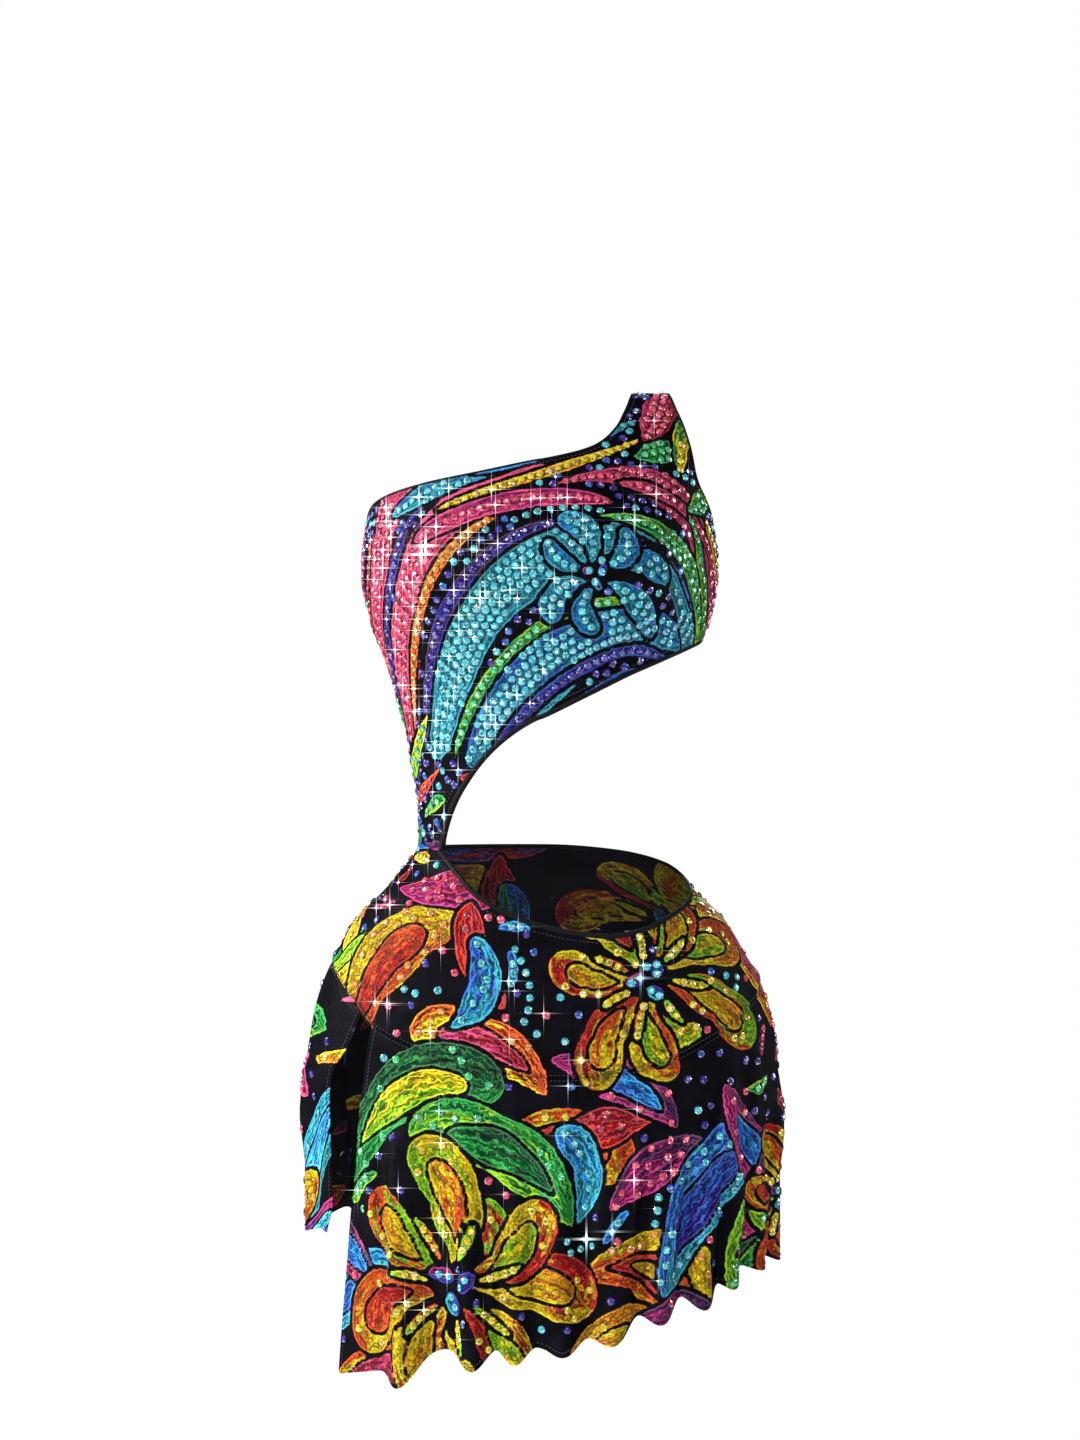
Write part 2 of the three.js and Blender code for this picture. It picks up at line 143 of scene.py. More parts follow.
def smooth_curve(rows, root=False):
    """A smooth curve through a table's rows that never swings past them.

    With root it runs over levels, the square roots of the drops in the rows.
    """
    at, to = np.array(rows, float).T
    if root:
        at = np.sqrt(at)
    step = np.diff(at)
    rise = np.diff(to) / step
    slope = np.empty_like(at)
    slope[0], slope[-1] = rise[0], rise[-1]
    for i in range(1, len(at) - 1):
        if rise[i - 1] * rise[i] <= 0:
            slope[i] = 0
            continue
        before, after = 2 * step[i] + step[i - 1], step[i] + 2 * step[i - 1]
        slope[i] = (before + after) / (before / rise[i - 1] + after / rise[i])

    def curve(value):
        value = np.asarray(value, float)
        i = np.clip(np.searchsorted(at, value) - 1, 0, len(step) - 1)
        t = np.clip((value - at[i]) / step[i], 0, 1)
        ends = (2 * t**3 - 3 * t**2 + 1) * to[i] + (3 * t**2 - 2 * t**3) * to[i + 1]
        bends = (t**3 - 2 * t**2 + t) * slope[i] + (t**3 - t**2) * slope[i + 1]
        return ends + step[i] * bends

    return curve


form_middle, form_half, form_front, form_back = (
    smooth_curve(FORM[:, (0, column)], root=True) for column in (1, 2, 3, 4))
bodice_top = smooth_curve(BODICE_TOP)
bodice_bottom = smooth_curve(BODICE_BOTTOM)
waist = smooth_curve(WAIST)
hip_seam_once = smooth_curve(HIP_SEAM)
hem_between = smooth_curve(HEM)
slit_front = smooth_curve(SLIT_FRONT)
slit_back = smooth_curve(SLIT_BACK)


def hip_seam(turn):
    return hip_seam_once(np.where(turn > 270, turn - 360, turn))


def front_turn(turn):
    """The front's turn that a place on the back mirrors."""
    return np.where(np.asarray(turn) > 90, 180 - np.asarray(turn, float), turn)


def bell(distance, width):
    return np.exp(-(distance / width) ** 2)


def form_point(turn, level):
    """A point on the inside of the worn dress. Its level is the square root of the drop."""
    sine, cosine = np.sin(np.radians(turn)), np.cos(np.radians(turn))
    across = np.sign(sine) * np.abs(sine) ** (2 / ROUNDNESS)
    along = np.abs(cosine) ** (2 / ROUNDNESS)
    drop = level * level
    cups = bell(turn - BUST_TURN, BUST_TURN_WIDTH) + bell(turn + BUST_TURN, BUST_TURN_WIDTH)
    lift = BUST_LIFT * bell(drop - BUST_DROP, BUST_DROP_WIDTH) * cups
    x = BODY_CENTRE + form_middle(level) + form_half(level) * across
    y = np.where(cosine >= 0, -(form_front(level) + lift) * along, form_back(level) * along)
    return np.stack([x, y, -drop + 0 * x], axis=-1)


def facing(surface, a, b, a_step, b_step):
    """The outward direction of a surface given by two running values."""
    along_a = surface(a + a_step, b) - surface(a - a_step, b)
    along_b = surface(a, b + b_step) - surface(a, b - b_step)
    return unit(np.cross(along_b, along_a))


TURN_STEP, LEVEL_STEP, ALONG_STEP = 0.4, 0.05, 0.01


def form_facing(turn, level):
    return facing(form_point, turn, level, TURN_STEP, LEVEL_STEP)


def fold_sum(turn, column):
    turn = np.asarray(turn, float)[..., None]
    return (FOLDS[:, column] * bell(turn - FOLDS[:, 0], FOLDS[:, 1])).sum(axis=-1)


def flounce_surface(slit_turn, slit_curve):
    """The inside of one flounce panel, by the turn at the hip seam and the way to the hem."""
    def surface(seam_turn, along):
        near = np.maximum(0, 1 - np.abs(seam_turn - slit_turn) / SLIT_REACH) ** 2
        turn = seam_turn + near * (slit_curve(along) - slit_turn)
        hem_turn = seam_turn + near * (slit_curve(1) - slit_turn)
        hem = hem_between(hem_turn) + fold_sum(hem_turn, 3)
        start = hip_seam(seam_turn) + SEAM_GAP
        level = np.sqrt(start + (hem - start) * along)
        grow = np.clip(along, 0, None) ** FOLD_START
        out = grow * (fold_sum(turn, 2) - FOLD_TUCK)
        return form_point(turn, level) + form_facing(turn, level) * out[..., None]
    return surface


# Distances round and down the form are charted at each whole degree and at even drops.
CHART_DROP_STEP = 5.0
CHART_TURNS = np.arange(-96, 321, 1.0)
CHART_LEVELS = np.sqrt(np.arange(0, 821, CHART_DROP_STEP))
# A reading stops this many entries before the chart's end.
CHART_END = 1.001


def chart_tables():
    """The distance round the form and the distance down it, at each turn and level."""
    turn, level = np.meshgrid(CHART_TURNS, CHART_LEVELS, indexing="ij")
    points = form_point(turn, level)
    round_steps = np.linalg.norm(np.diff(points, axis=0), axis=-1)
    down_steps = np.linalg.norm(np.diff(points, axis=1), axis=-1)
    around = np.zeros(turn.shape)
    around[1:] = np.cumsum(round_steps, axis=0)
    down = np.zeros(turn.shape)
    down[:, 1:] = np.cumsum(down_steps, axis=1)
    return around, down


chart_round, chart_down = chart_tables()


def read_chart(table, turn, drop):
    """A distance from the chart, worked out between its four nearest entries."""
    i = np.clip((turn - CHART_TURNS[0]), 0, len(CHART_TURNS) - CHART_END)
    j = np.clip(np.asarray(drop, float) / CHART_DROP_STEP, 0, len(CHART_LEVELS) - CHART_END)
    i0, j0 = i.astype(int), j.astype(int)
    u, v = i - i0, j - j0
    low = table[i0, j0] * (1 - u) + table[i0 + 1, j0] * u
    high = table[i0, j0 + 1] * (1 - u) + table[i0 + 1, j0 + 1] * u
    return low * (1 - v) + high * v


def cloth_place(turn, drop, centre_turn):
    """Where a place on the form lies on the cloth: across from the centre line, and down."""
    centre = np.full_like(turn, float(centre_turn))
    across = read_chart(chart_round, turn, drop) - read_chart(chart_round, centre, drop)
    return across, read_chart(chart_down, turn, drop)


FINE_TURN, TURN_SLACK = 0.1, 0.01


def even_count(length):
    """The even number of cells that a length of cloth is divided into."""
    return 2 * max(1, round(length / CELL / 2))


def column_turns(corners, drop):
    """The turns of a panel's columns: its corners, and even steps of cloth between them."""
    fine = np.arange(corners[0], corners[-1] + TURN_SLACK, FINE_TURN)
    around = read_chart(chart_round, fine, drop)
    stops = np.interp(corners, fine, around)
    turns = [np.array([corners[0]], float)]
    for start, end in zip(stops, stops[1:]):
        steps = np.linspace(start, end, even_count(end - start) + 1)[1:]
        turns.append(np.interp(steps, around, fine))
    return np.concatenate(turns)


class Panel:
    """A grid of points over one panel of cloth, with the place of each on its print."""

    def __init__(self, name, turns, points, normals, across, down):
        self.name = name
        self.kind = name.split("_")[0]
        self.turns = turns
        self.points = points
        self.normals = normals
        self.across = across
        self.down = down
        self.places = np.stack([across.ravel(), down.ravel()], -1)
        rim = np.zeros(across.shape, bool)
        rim[0], rim[-1], rim[:, 0], rim[:, -1] = True, True, True, True
        self.from_edge = nearest(self.places[rim.ravel()], self.places)[1].reshape(across.shape)

    def raise_cloth(self, height):
        """Moves the cloth out along its facing and turns the facing to suit."""
        self.points = self.points + self.normals * height[..., None]
        by_column = np.gradient(self.points, axis=0)
        by_row = np.gradient(self.points, axis=1)
        self.normals = unit(np.cross(by_row, by_column))


    def marks_at(self, spots, layer):
        """The print's marks at chosen points, with their place on the cloth and its layer."""
        marks = {name: (kind, values[spots]) for name, (kind, values) in self.marks.items()}
        place = np.column_stack([self.places[spots], np.broadcast_to(layer, len(spots))])
        return marks | {"cloth_place": ("FLOAT_VECTOR", place)}


def nearest(targets, places):
    """For each place, the index of the nearest target and how far off it is."""
    tree = KDTree(len(targets))
    for k, (across, down) in enumerate(targets):
        tree.insert((across, down, 0), k)
    tree.balance()
    found = [tree.find((across, down, 0))[1:] for across, down in places]
    return np.array([k for k, _ in found]), np.array([away for _, away in found])


# A side of the dress: which way it lies from the side seams, and its centre line's turn.
FRONT, BACK = (-1, 0), (1, 180)


def fitted_panel(name, corners, top_drop, bottom_drop, side, drop, tall):
    """A bodice or yoke panel on the form, between two edges given as drops over the turn.

    Its columns are evenly apart at the drop, and its rows suit cloth that is so tall.
    """
    way_out, centre_turn = side
    turns = column_turns(corners, drop)
    top, bottom = np.sqrt(top_drop(turns)), np.sqrt(bottom_drop(turns))
    way = np.linspace(0, 1, even_count(tall) + 1)
    level = top[:, None] + (bottom - top)[:, None] * way
    turn = np.broadcast_to(turns[:, None], level.shape).copy()
    normals = form_facing(turn, level)
    points = form_point(turn, level) + normals * CAD_WALL
    points[..., 1] += way_out * SEAM_GAP / 2
    across, down = cloth_place(turn, level * level, centre_turn)
    return Panel(name, turns, points, normals, across, down)


def flounce_panel(name, corners, slit_turn, slit_curve, side, drop, tall):
    """A flounce panel that hangs from the hip seam, with its folds."""
    way_out, centre_turn = side
    turns = column_turns(corners, drop)
    along = np.linspace(0, 1, even_count(tall) + 1)
    turn, way = np.meshgrid(turns, along, indexing="ij")
    surface = flounce_surface(slit_turn, slit_curve)
    normals = facing(surface, turn, np.maximum(way, ALONG_STEP), TURN_STEP, ALONG_STEP)
    points = surface(turn, way) + normals * CAD_WALL
    points[..., 1] += way_out * SEAM_GAP / 2
    steps = np.linalg.norm(np.diff(points[..., :2], axis=0), axis=-1)
    across = np.zeros(turn.shape)
    across[1:] = np.cumsum(steps, axis=0)
    centre = int(np.abs(turns - centre_turn).argmin())
    across -= across[centre]
    seam = read_chart(chart_down, turn, hip_seam(turn))
    down = seam + points[:, :1, 2] - points[..., 2]
    return Panel(name, turns, points, normals, across, down)


def back_top(turn):
    return bodice_top(front_turn(turn))


def bodice_end(turn):
    """The bodice's lower edge, which is the waist's seam at the side strip."""
    seam = waist(turn) - SEAM_GAP
    edge = bodice_bottom(front_turn(turn))
    return np.where(front_turn(turn) <= STRIP_TURN, seam, edge)


# Turns at which the bodice's outline needs a column, at the side strip and at the strap.
STRIP_TURNS = [STRIP_TURN, -51.6, -50.8, -49.5, -48]
STRAP_TURNS = [17, 24.5, STRAP_NECK_TURN, STRAP_ARM_TURN, 44, 59.5]
BODICE_CORNERS = [-90, *STRIP_TURNS, *STRAP_TURNS, 90]


def make_panels():
    """The six panels of cloth by name, from the tables of edges."""
    back_corners = [180 - turn for turn in reversed(BODICE_CORNERS)]
    yoke_front_corners = [-90, STRIP_TURN, 18, 90]
    yoke_back_corners = [90, 180, 180 - STRIP_TURN, 270]
    slit_front_turn, slit_back_turn = float(slit_front(0)), float(slit_back(0))
    made = [
        fitted_panel("bodice_front", BODICE_CORNERS, bodice_top, bodice_end, FRONT, 150, 290),
        fitted_panel("bodice_back", back_corners, back_top, bodice_end, BACK, 150, 280),
        fitted_panel("yoke_front", yoke_front_corners, waist, hip_seam, FRONT, 470, 140),
        fitted_panel("yoke_back", yoke_back_corners, waist, hip_seam, BACK, 450, 110),
        flounce_panel("flounce_front", [slit_front_turn, 90], slit_front_turn, slit_front,
                      FRONT, 640, 250),
        flounce_panel("flounce_back", [90, slit_back_turn], slit_back_turn, slit_back,
                      BACK, 600, 236),
    ]
    return {panel.name: panel for panel in made}


# Inks of the print and tints of the stones, as on a colour card.
CARD = {
    "night": "#0b0910", "plum": "#4a1a58", "magenta": "#b51a74", "crimson": "#a8182f",
    "pink": "#dc3a6c", "rose": "#ee4a80", "salmon": "#f6466c", "red": "#cc1c12",
    "orange": "#ec560e", "amber": "#f0980e", "gold": "#e0aa0a", "yellow": "#f4d60c",
    "lime": "#8ed012", "green": "#0f9a3c", "forest": "#0c5c30", "mint": "#45cc7c",
    "teal": "#148a94", "turquoise": "#2cabc6", "aqua": "#4dcddc", "sky": "#2498e6",
    "blue": "#2060c4", "violet": "#2c1a9c", "ruby": "#c8283c",
}

# How a motif widens and closes along its spine, and how far its strokes follow its outline.
MOTIF_KINDS = {
    # kind: (rise, close, contour strokes)
    "plume": (0.45, 0.6, 0.5),
    "leaf": (0.85, 0.85, 1.0),
    "hook": (0.9, 0.5, 1.0),
    "petal": (1.0, 0.42, 0.15),
    "bud": (0.5, 0.5, 0.6),
}
# A motif's bent middle line, and how its outline wavers as if drawn by hand.
SPINE_STEPS, SPINE_EASE = 24, 1.3
WAVER, WAVER_SHARE, SLOW_WAVES, QUICK_WAVES = 0.09, 0.6, 9, 17
# How wide a stroke beside the outline is, and the dark gap round a motif and round a core.
LANE, MOTIF_GAP, INNER_GAP = 6.4, 2.9, 2.4
# How dark the inks are under close stones, and elsewhere.
STONE_BED, PAINT_DEPTH = 0.5, 0.55
# How far round a motif the print is worked out, and what its second ink follows: the way along
# the motif and the way over it.
PRINT_REACH = 30
BLEND_ALONG, BLEND_OVER = 0.35, 0.65

# The print of the front, drawn from the lowest motif to the top one. A motif starts at a place
# across and down the cloth, heads off at an angle from the strap's side, 90 being up, and
# bends as it goes. Its stones are set "full", in a "line", "few" or "none", and the inks of
# its core are painted inside it, one within the next.
BODICE_MOTIFS = [
    # kind, across, down, angle, length, width, bend, ink, second, stones, setting
    ("plume", -206, 300, 96, 216, 32, -28, "rose", "magenta", "salmon", "full"),
    ("petal", -190, 318, 84, 132, 44, -22, "pink", "rose", "salmon", "full"),
    ("plume", -160, 274, 95, 226, 42, -56, "rose", "pink", "salmon", "full"),
    ("plume", -122, 298, 93, 262, 42, -84, "pink", "rose", "salmon", "full"),
    ("plume", -84, 332, 82, 280, 44, -92, "turquoise", "teal", "aqua", "full"),
    ("plume", -54, 352, 61, 240, 46, -62, "turquoise", "blue", "aqua", "full"),
    ("plume", -26, 354, 40, 226, 30, -30, "sky", "blue", "aqua", "full"),
    ("plume", -184, 270, 93, 150, 9, -34, "crimson", "orange", "ruby", "line"),
    ("plume", -142, 276, 96, 190, 10, -64, "violet", "plum", "violet", "line"),
    ("plume", -112, 300, 92, 226, 9, -88, "orange", "amber", "amber", "line"),
    ("plume", -100, 318, 88, 256, 12, -94, "violet", "plum", "violet", "full"),
    ("plume", -70, 338, 70, 226, 10, -78, "green", "lime", "mint", "line"),
    ("plume", -38, 340, 52, 196, 10, -50, "violet", "blue", "violet", "line"),
    ("plume", -128, 124, 14, 176, 22, 18, "turquoise", "blue", "aqua", "full"),
    ("plume", -56, 104, 12, 150, 12, 28, "sky", "teal", "aqua", "line"),
    ("plume", -84, 134, 14, 186, 9, 20, "amber", "yellow", "yellow", "line"),
    ("plume", -104, 158, 22, 168, 20, -30, "rose", "magenta", "salmon", "full"),
    ("petal", 12, 118, 22, 246, 38, -142, "pink", "rose", "salmon", "full"),
    ("plume", 62, 112, 2, 150, 12, -66, "rose", "crimson", "salmon", "line"),
    ("hook", 46, 146, 6, 210, 27, -134, "green", "lime", "mint", "full"),
    ("hook", 68, 160, -12, 150, 13, -110, "violet", "blue", "violet", "full"),
    ("plume", 148, 258, 104, 116, 20, 50, "turquoise", "teal", "aqua", "full"),
    ("plume", 166, 232, 96, 120, 12, 30, "green", "lime", "mint", "line"),
    ("petal", 82, 70, 62, 66, 30, 22, "crimson", "pink", "salmon", "full"),
    ("leaf", 76, 84, 18, 54, 20, 30, "green", "forest", "mint", "full"),
    ("leaf", 116, 88, 96, 62, 16, -30, "yellow", "green", "yellow", "line"),
    ("leaf", 128, 118, 40, 58, 20, 30, "green", "lime", "mint", "full"),
    ("leaf", 154, 116, -34, 70, 18, -40, "gold", "orange", "yellow", "line"),
    ("leaf", 186, 160, -60, 80, 22, -30, "rose", "magenta", "salmon", "full"),
    ("leaf", -182, 322, 52, 76, 20, 24, "green", "lime", "mint", "line"),
    ("leaf", -152, 328, 24, 66, 15, 22, "lime", "yellow", "mint", "line"),
    ("leaf", -146, 346, 2, 62, 11, 14, "red", "orange", "ruby", "line"),
    ("leaf", -172, 350, 20, 50, 12, -20, "turquoise", "blue", "aqua", "line"),
    ("leaf", -176, 392, 78, 60, 22, -26, "yellow", "gold", "yellow", "line"),
    ("leaf", -120, 404, 100, 60, 20, 26, "green", "forest", "mint", "line"),
    ("leaf", -150, 396, 88, 44, 12, 20, "rose", "magenta", "salmon", "line"),
    ("leaf", -202, 250, -98, 72, 20, 30, "yellow", "gold", "yellow", "line"),
]
BODICE_BLOSSOMS = [
    # across, down, radius, petals, turn, bend, inks, heart, stones
    (44, 196, 58, 7, 8, 116, ("turquoise", "sky"), "violet", "aqua"),
]
SKIRT_MOTIFS = [
    # the same columns, and the inks of the core where a motif has one
    ("hook", -150, 474, -150, 118, 42, 84, "green", "lime", "mint", "few", ("forest",)),
    ("leaf", -176, 430, -96, 74, 24, 30, "yellow", "gold", "yellow", "few"),
    ("hook", -214, 604, 80, 150, 50, -66, "yellow", "lime", "yellow", "few", ("orange",)),
    ("petal", -150, 590, 98, 150, 56, -98, "orange", "yellow", "amber", "few", ("red",)),
    ("leaf", -124, 432, -26, 120, 34, 40, "magenta", "crimson", "salmon", "few"),
    ("leaf", -30, 548, 128, 92, 30, -50, "crimson", "red", "ruby", "few"),
    ("hook", 4, 616, 124, 124, 42, 78, "orange", "yellow", "amber", "few", ("crimson",)),
    ("petal", -44, 676, 52, 134, 44, -124, "yellow", "orange", "yellow", "few", ("red",)),
    ("leaf", 92, 640, 176, 104, 30, 50, "crimson", "red", "ruby", "few"),
    ("hook", 34, 716, 66, 84, 26, 90, "turquoise", "sky", "aqua", "few"),
    ("hook", -76, 566, 30, 86, 26, 96, "turquoise", "blue", "aqua", "few"),
    ("leaf", 232, 470, 150, 140, 44, 50, "yellow", "orange", "yellow", "few", ("lime",)),
    ("hook", 214, 556, 96, 130, 46, 70, "orange", "yellow", "amber", "few", ("crimson",)),
    ("hook", -158, 690, 78, 168, 54, -104, "green", "forest", "mint", "few", ("lime",)),
    ("hook", 30, 718, 118, 160, 52, 78, "green", "lime", "mint", "few", ("forest",)),
    ("leaf", 4, 586, -12, 130, 34, -40, "magenta", "plum", "salmon", "few", ("blue",)),
    ("leaf", 60, 706, 50, 112, 34, -70, "magenta", "plum", "salmon", "few"),
    ("petal", 34, 762, 28, 160, 60, -116, "orange", "yellow", "amber", "few", ("red", "gold")),
    ("hook", 128, 792, 96, 176, 58, -78, "turquoise", "blue", "aqua", "few", ("violet",)),
    ("leaf", 154, 610, -56, 140, 40, 50, "magenta", "plum", "salmon", "few", ("blue",)),
    ("petal", 24, 850, 56, 120, 48, -80, "yellow", "amber", "yellow", "few", ("orange",)),
    ("leaf", 84, 812, 28, 104, 32, -40, "magenta", "plum", "salmon", "few"),
    ("hook", -206, 820, 66, 124, 44, -84, "turquoise", "sky", "aqua", "few", ("blue",)),
    ("petal", -212, 854, 22, 150, 50, -34, "yellow", "orange", "yellow", "few", ("crimson",)),
    ("leaf", -190, 690, -76, 104, 30, 40, "magenta", "plum", "salmon", "few", ("blue",)),
    ("hook", 214, 802, 102, 196, 60, -86, "green", "lime", "mint", "few", ("forest",)),
    ("leaf", 196, 744, 60, 120, 34, 40, "magenta", "plum", "salmon", "few"),
    ("petal", 306, 588, -104, 150, 54, 76, "yellow", "orange", "yellow", "few", ("red",)),
    ("hook", 322, 750, 130, 120, 44, 60, "green", "lime", "mint", "few"),
]
SKIRT_BLOSSOMS = [
    # the same columns
    (86, 530, 92, 7, 24, 84, ("yellow", "orange", "lime", "yellow", "red"), "blue", "yellow"),
    (-70, 766, 112, 7, -8, 88, ("yellow", "red", "yellow", "lime", "orange"), "violet",
     "yellow"),
    (262, 690, 66, 6, 10, 80, ("yellow", "orange", "red"), "blue", "yellow"),
]

# Single rows of stones on the ground.
DOT_ROWS = {
    "bodice": [
        # across, down, angle, length, bend, stones
        (-20, 152, 24, 120, -70, "aqua"), (70, 214, -30, 60, -60, "aqua"),
        (-168, 240, 95, 120, -20, "violet"), (96, 108, -12, 90, -40, "aqua"),
        (-30, 300, 26, 150, 8, "aqua"), (-60, 342, 36, 90, 12, "violet"),
    ],
    "skirt": [
        (-20, 500, -60, 70, -70, "aqua"), (-60, 470, -20, 60, 40, "salmon"),
        (140, 560, 40, 60, 50, "aqua"), (-150, 540, 20, 60, -60, "aqua"),
        (-40, 682, -10, 90, 40, "salmon"), (20, 740, 20, 90, -60, "aqua"),
        (100, 740, 80, 80, 40, "aqua"), (180, 650, -70, 90, -30, "aqua"),
        (-150, 710, -30, 70, 60, "mint"), (60, 790, -10, 70, 30, "salmon"),
    ],
}
DOT_SPACING = 9.5


def linear_ink(name):
    """A named colour of the card as the shader's linear values."""
    code = CARD[name]
    value = np.array([int(code[i:i + 2], 16) / 255 for i in (1, 3, 5)])
    return np.where(value <= 0.04045, value / 12.92, ((value + 0.055) / 1.055) ** 2.4)


class Line:
    """A bent line over the cloth with a half width at each of its points."""

    def __init__(self, across, down, angle, length, width, bend, rise, close):
        self.angle, self.length, self.width, self.bend = angle, length, width, bend
        way = np.linspace(0, 1, SPINE_STEPS + 1)
        heading = np.radians(angle + bend * ((way[:-1] + way[1:]) / 2) ** SPINE_EASE)
        steps = np.stack([np.cos(heading), -np.sin(heading)], -1) * length / SPINE_STEPS
        self.spine = np.array([across, down]) + np.concatenate([[(0, 0)], np.cumsum(steps, 0)])
        widest = rise / (rise + close)
        shape = (way / widest) ** rise * ((1 - way) / (1 - widest)) ** close
        start = 0.7 * across + 1.3 * down
        waves = np.sin(SLOW_WAVES * way + start)
        waves = waves + WAVER_SHARE * np.sin(QUICK_WAVES * way - start)
        self.half = width / 2 * shape * (1 + WAVER * waves)

    def place(self, way, aside):
        """The place at a way along the spine, and aside from it to the left."""
        at = np.clip(way * SPINE_STEPS, 0, SPINE_STEPS - 1e-6)
        k = int(at)
        step = self.spine[k + 1] - self.spine[k]
        left = np.array([step[1], -step[0]]) / np.linalg.norm(step)
        return self.spine[k] + step * (at - k) + left * aside

    def reach(self, places):
        """How far inside the motif each place lies, how far along it, and to which side."""
        step = np.diff(self.spine, axis=0)
        off = places[:, None] - self.spine[:-1]
        t = np.clip((off * step).sum(-1) / (step ** 2).sum(-1), 0, 1)
        away = off - t[..., None] * step
        distance = np.linalg.norm(away, axis=-1)
        half = self.half[:-1] + t * np.diff(self.half)
        best = (half - distance).argmax(1)
        rows = np.arange(len(places))
        side = np.sign(step[best, 1] * away[rows, best, 0] - step[best, 0] * away[rows, best, 1])
        along = (best + t[rows, best]) / SPINE_STEPS
        distance, half = distance[rows, best], half[rows, best]
        return half - distance, along, side * distance


class Motif(Line):
    """A painted shape along a bent line, with its inks and its stones."""

    def __init__(self, kind, across, down, angle, length, width, bend, ink, second, stones,
                 setting, core=(), gap=MOTIF_GAP):
        rise, close, self.contour = MOTIF_KINDS[kind]
        super().__init__(across, down, angle, length, width, bend, rise, close)
        self.kind, self.core, self.gap = kind, core, gap
        bed = STONE_BED if setting == "full" or kind == "plume" else PAINT_DEPTH
        self.inks = bed * linear_ink(ink), bed * linear_ink(second)
        self.stones, self.setting = stones, setting


# Creases worn into each panel: the pull lines of the fitted cloth and the small folds that
# hang between the large ones.
CREASES = {
    "bodice_front": [
        # across, down, angle, length, width, bend, height
        (-176, 372, 62, 120, 15, -26, 1.6), (-150, 384, 70, 150, 11, -40, -1.2),
        (-128, 380, 74, 96, 10, -30, 1.3), (-190, 300, 40, 90, 14, 30, 1.2),
        (-168, 138, -12, 90, 16, 16, 1.4), (-176, 160, -22, 70, 12, 20, -1.0),
        (60, 40, -62, 60, 12, 30, 1.2), (104, 44, -100, 66, 12, -26, 1.3),
        (150, 140, 168, 84, 15, 20, 1.4), (164, 158, 176, 70, 11, 14, -1.1),
        (-20, 226, 8, 90, 18, -16, -1.3), (-60, 300, 34, 110, 16, -12, 1.4),
    ],
    "bodice_back": [
        (176, 372, 118, 124, 15, 26, 1.6), (148, 384, 110, 140, 11, 38, -1.2),
        (190, 306, 140, 84, 14, -30, 1.2), (168, 140, 192, 96, 16, -16, 1.4),
        (60, 60, -118, 66, 12, -30, 1.2), (-150, 142, 10, 90, 15, -20, 1.3),
        (20, 226, 172, 110, 18, 16, -1.3), (60, 306, 146, 104, 16, 12, 1.4),
        (0, 130, 182, 130, 20, -10, 1.2),
    ],
    "yoke_front": [
        (-150, 396, -52, 110, 15, -20, 1.7), (-118, 400, -44, 120, 12, -24, -1.2),
        (-196, 430, -30, 90, 18, 30, 1.4), (150, 452, 200, 96, 15, 20, 1.5),
        (176, 480, 190, 120, 18, 16, -1.3), (-40, 520, -6, 110, 20, 14, 1.3),
        (60, 570, 174, 120, 16, 10, 1.2), (-120, 560, 20, 80, 14, -26, 1.2),
    ],
    "yoke_back": [
        (150, 396, -128, 110, 15, 20, 1.7), (116, 402, -136, 110, 12, 24, -1.2),
        (196, 430, -150, 90, 18, -30, 1.4), (-160, 452, -20, 110, 15, -18, 1.5),
        (-100, 430, -14, 96, 18, 16, -1.3), (20, 470, 184, 130, 20, 12, 1.3),
    ],
    "flounce_front": [
        (-150, 610, -84, 190, 17, -5, 5.2), (-118, 650, -92, 176, 13, 4, 4.5),
        (-64, 630, -88, 180, 16, 3, 5.5), (-34, 690, -90, 120, 12, -4, 4.5),
        (18, 640, -90, 160, 15, 3, 5.2), (52, 690, -86, 100, 12, -3, 4.3),
        (84, 630, -92, 150, 15, 4, 5.2), (120, 660, -88, 110, 12, -3, 4.5),
        (160, 610, -90, 140, 16, 3, 5.5), (196, 640, -92, 110, 13, 2, 4.5),
        (244, 590, -90, 150, 16, -3, 5.2), (286, 610, -88, 120, 13, 3, 4.5),
    ],
    "flounce_back": [
        (-280, 565, -90, 160, 16, 3, 5.2), (-236, 605, -88, 130, 13, -3, 4.5),
        (-190, 565, -91, 160, 16, 4, 5.5), (-146, 605, -90, 120, 13, -3, 4.5),
        (-96, 555, -88, 170, 16, 3, 5.2), (-52, 595, -92, 130, 13, 3, 4.5),
        (-6, 565, -90, 160, 15, -3, 5.2), (40, 595, -88, 130, 13, 3, 4.3),
        (90, 555, -91, 170, 16, 3, 5.5), (134, 605, -90, 110, 13, -3, 4.5),
        (184, 565, -90, 150, 16, 3, 5.2), (236, 605, -92, 110, 13, 3, 4.5),
        (286, 575, -89, 130, 15, -3, 5.0),
    ],
}

# How creases swell and close, how far from an edge they die out, and the small ridge and groove
# beside the hip seam.
CREASE_EASE, CREASE_FADE = 0.5, 14
SEAM_RISE, SEAM_SINK, SEAM_IN, SEAM_WIDE = 1.3, 1.0, 3.0, 2.4


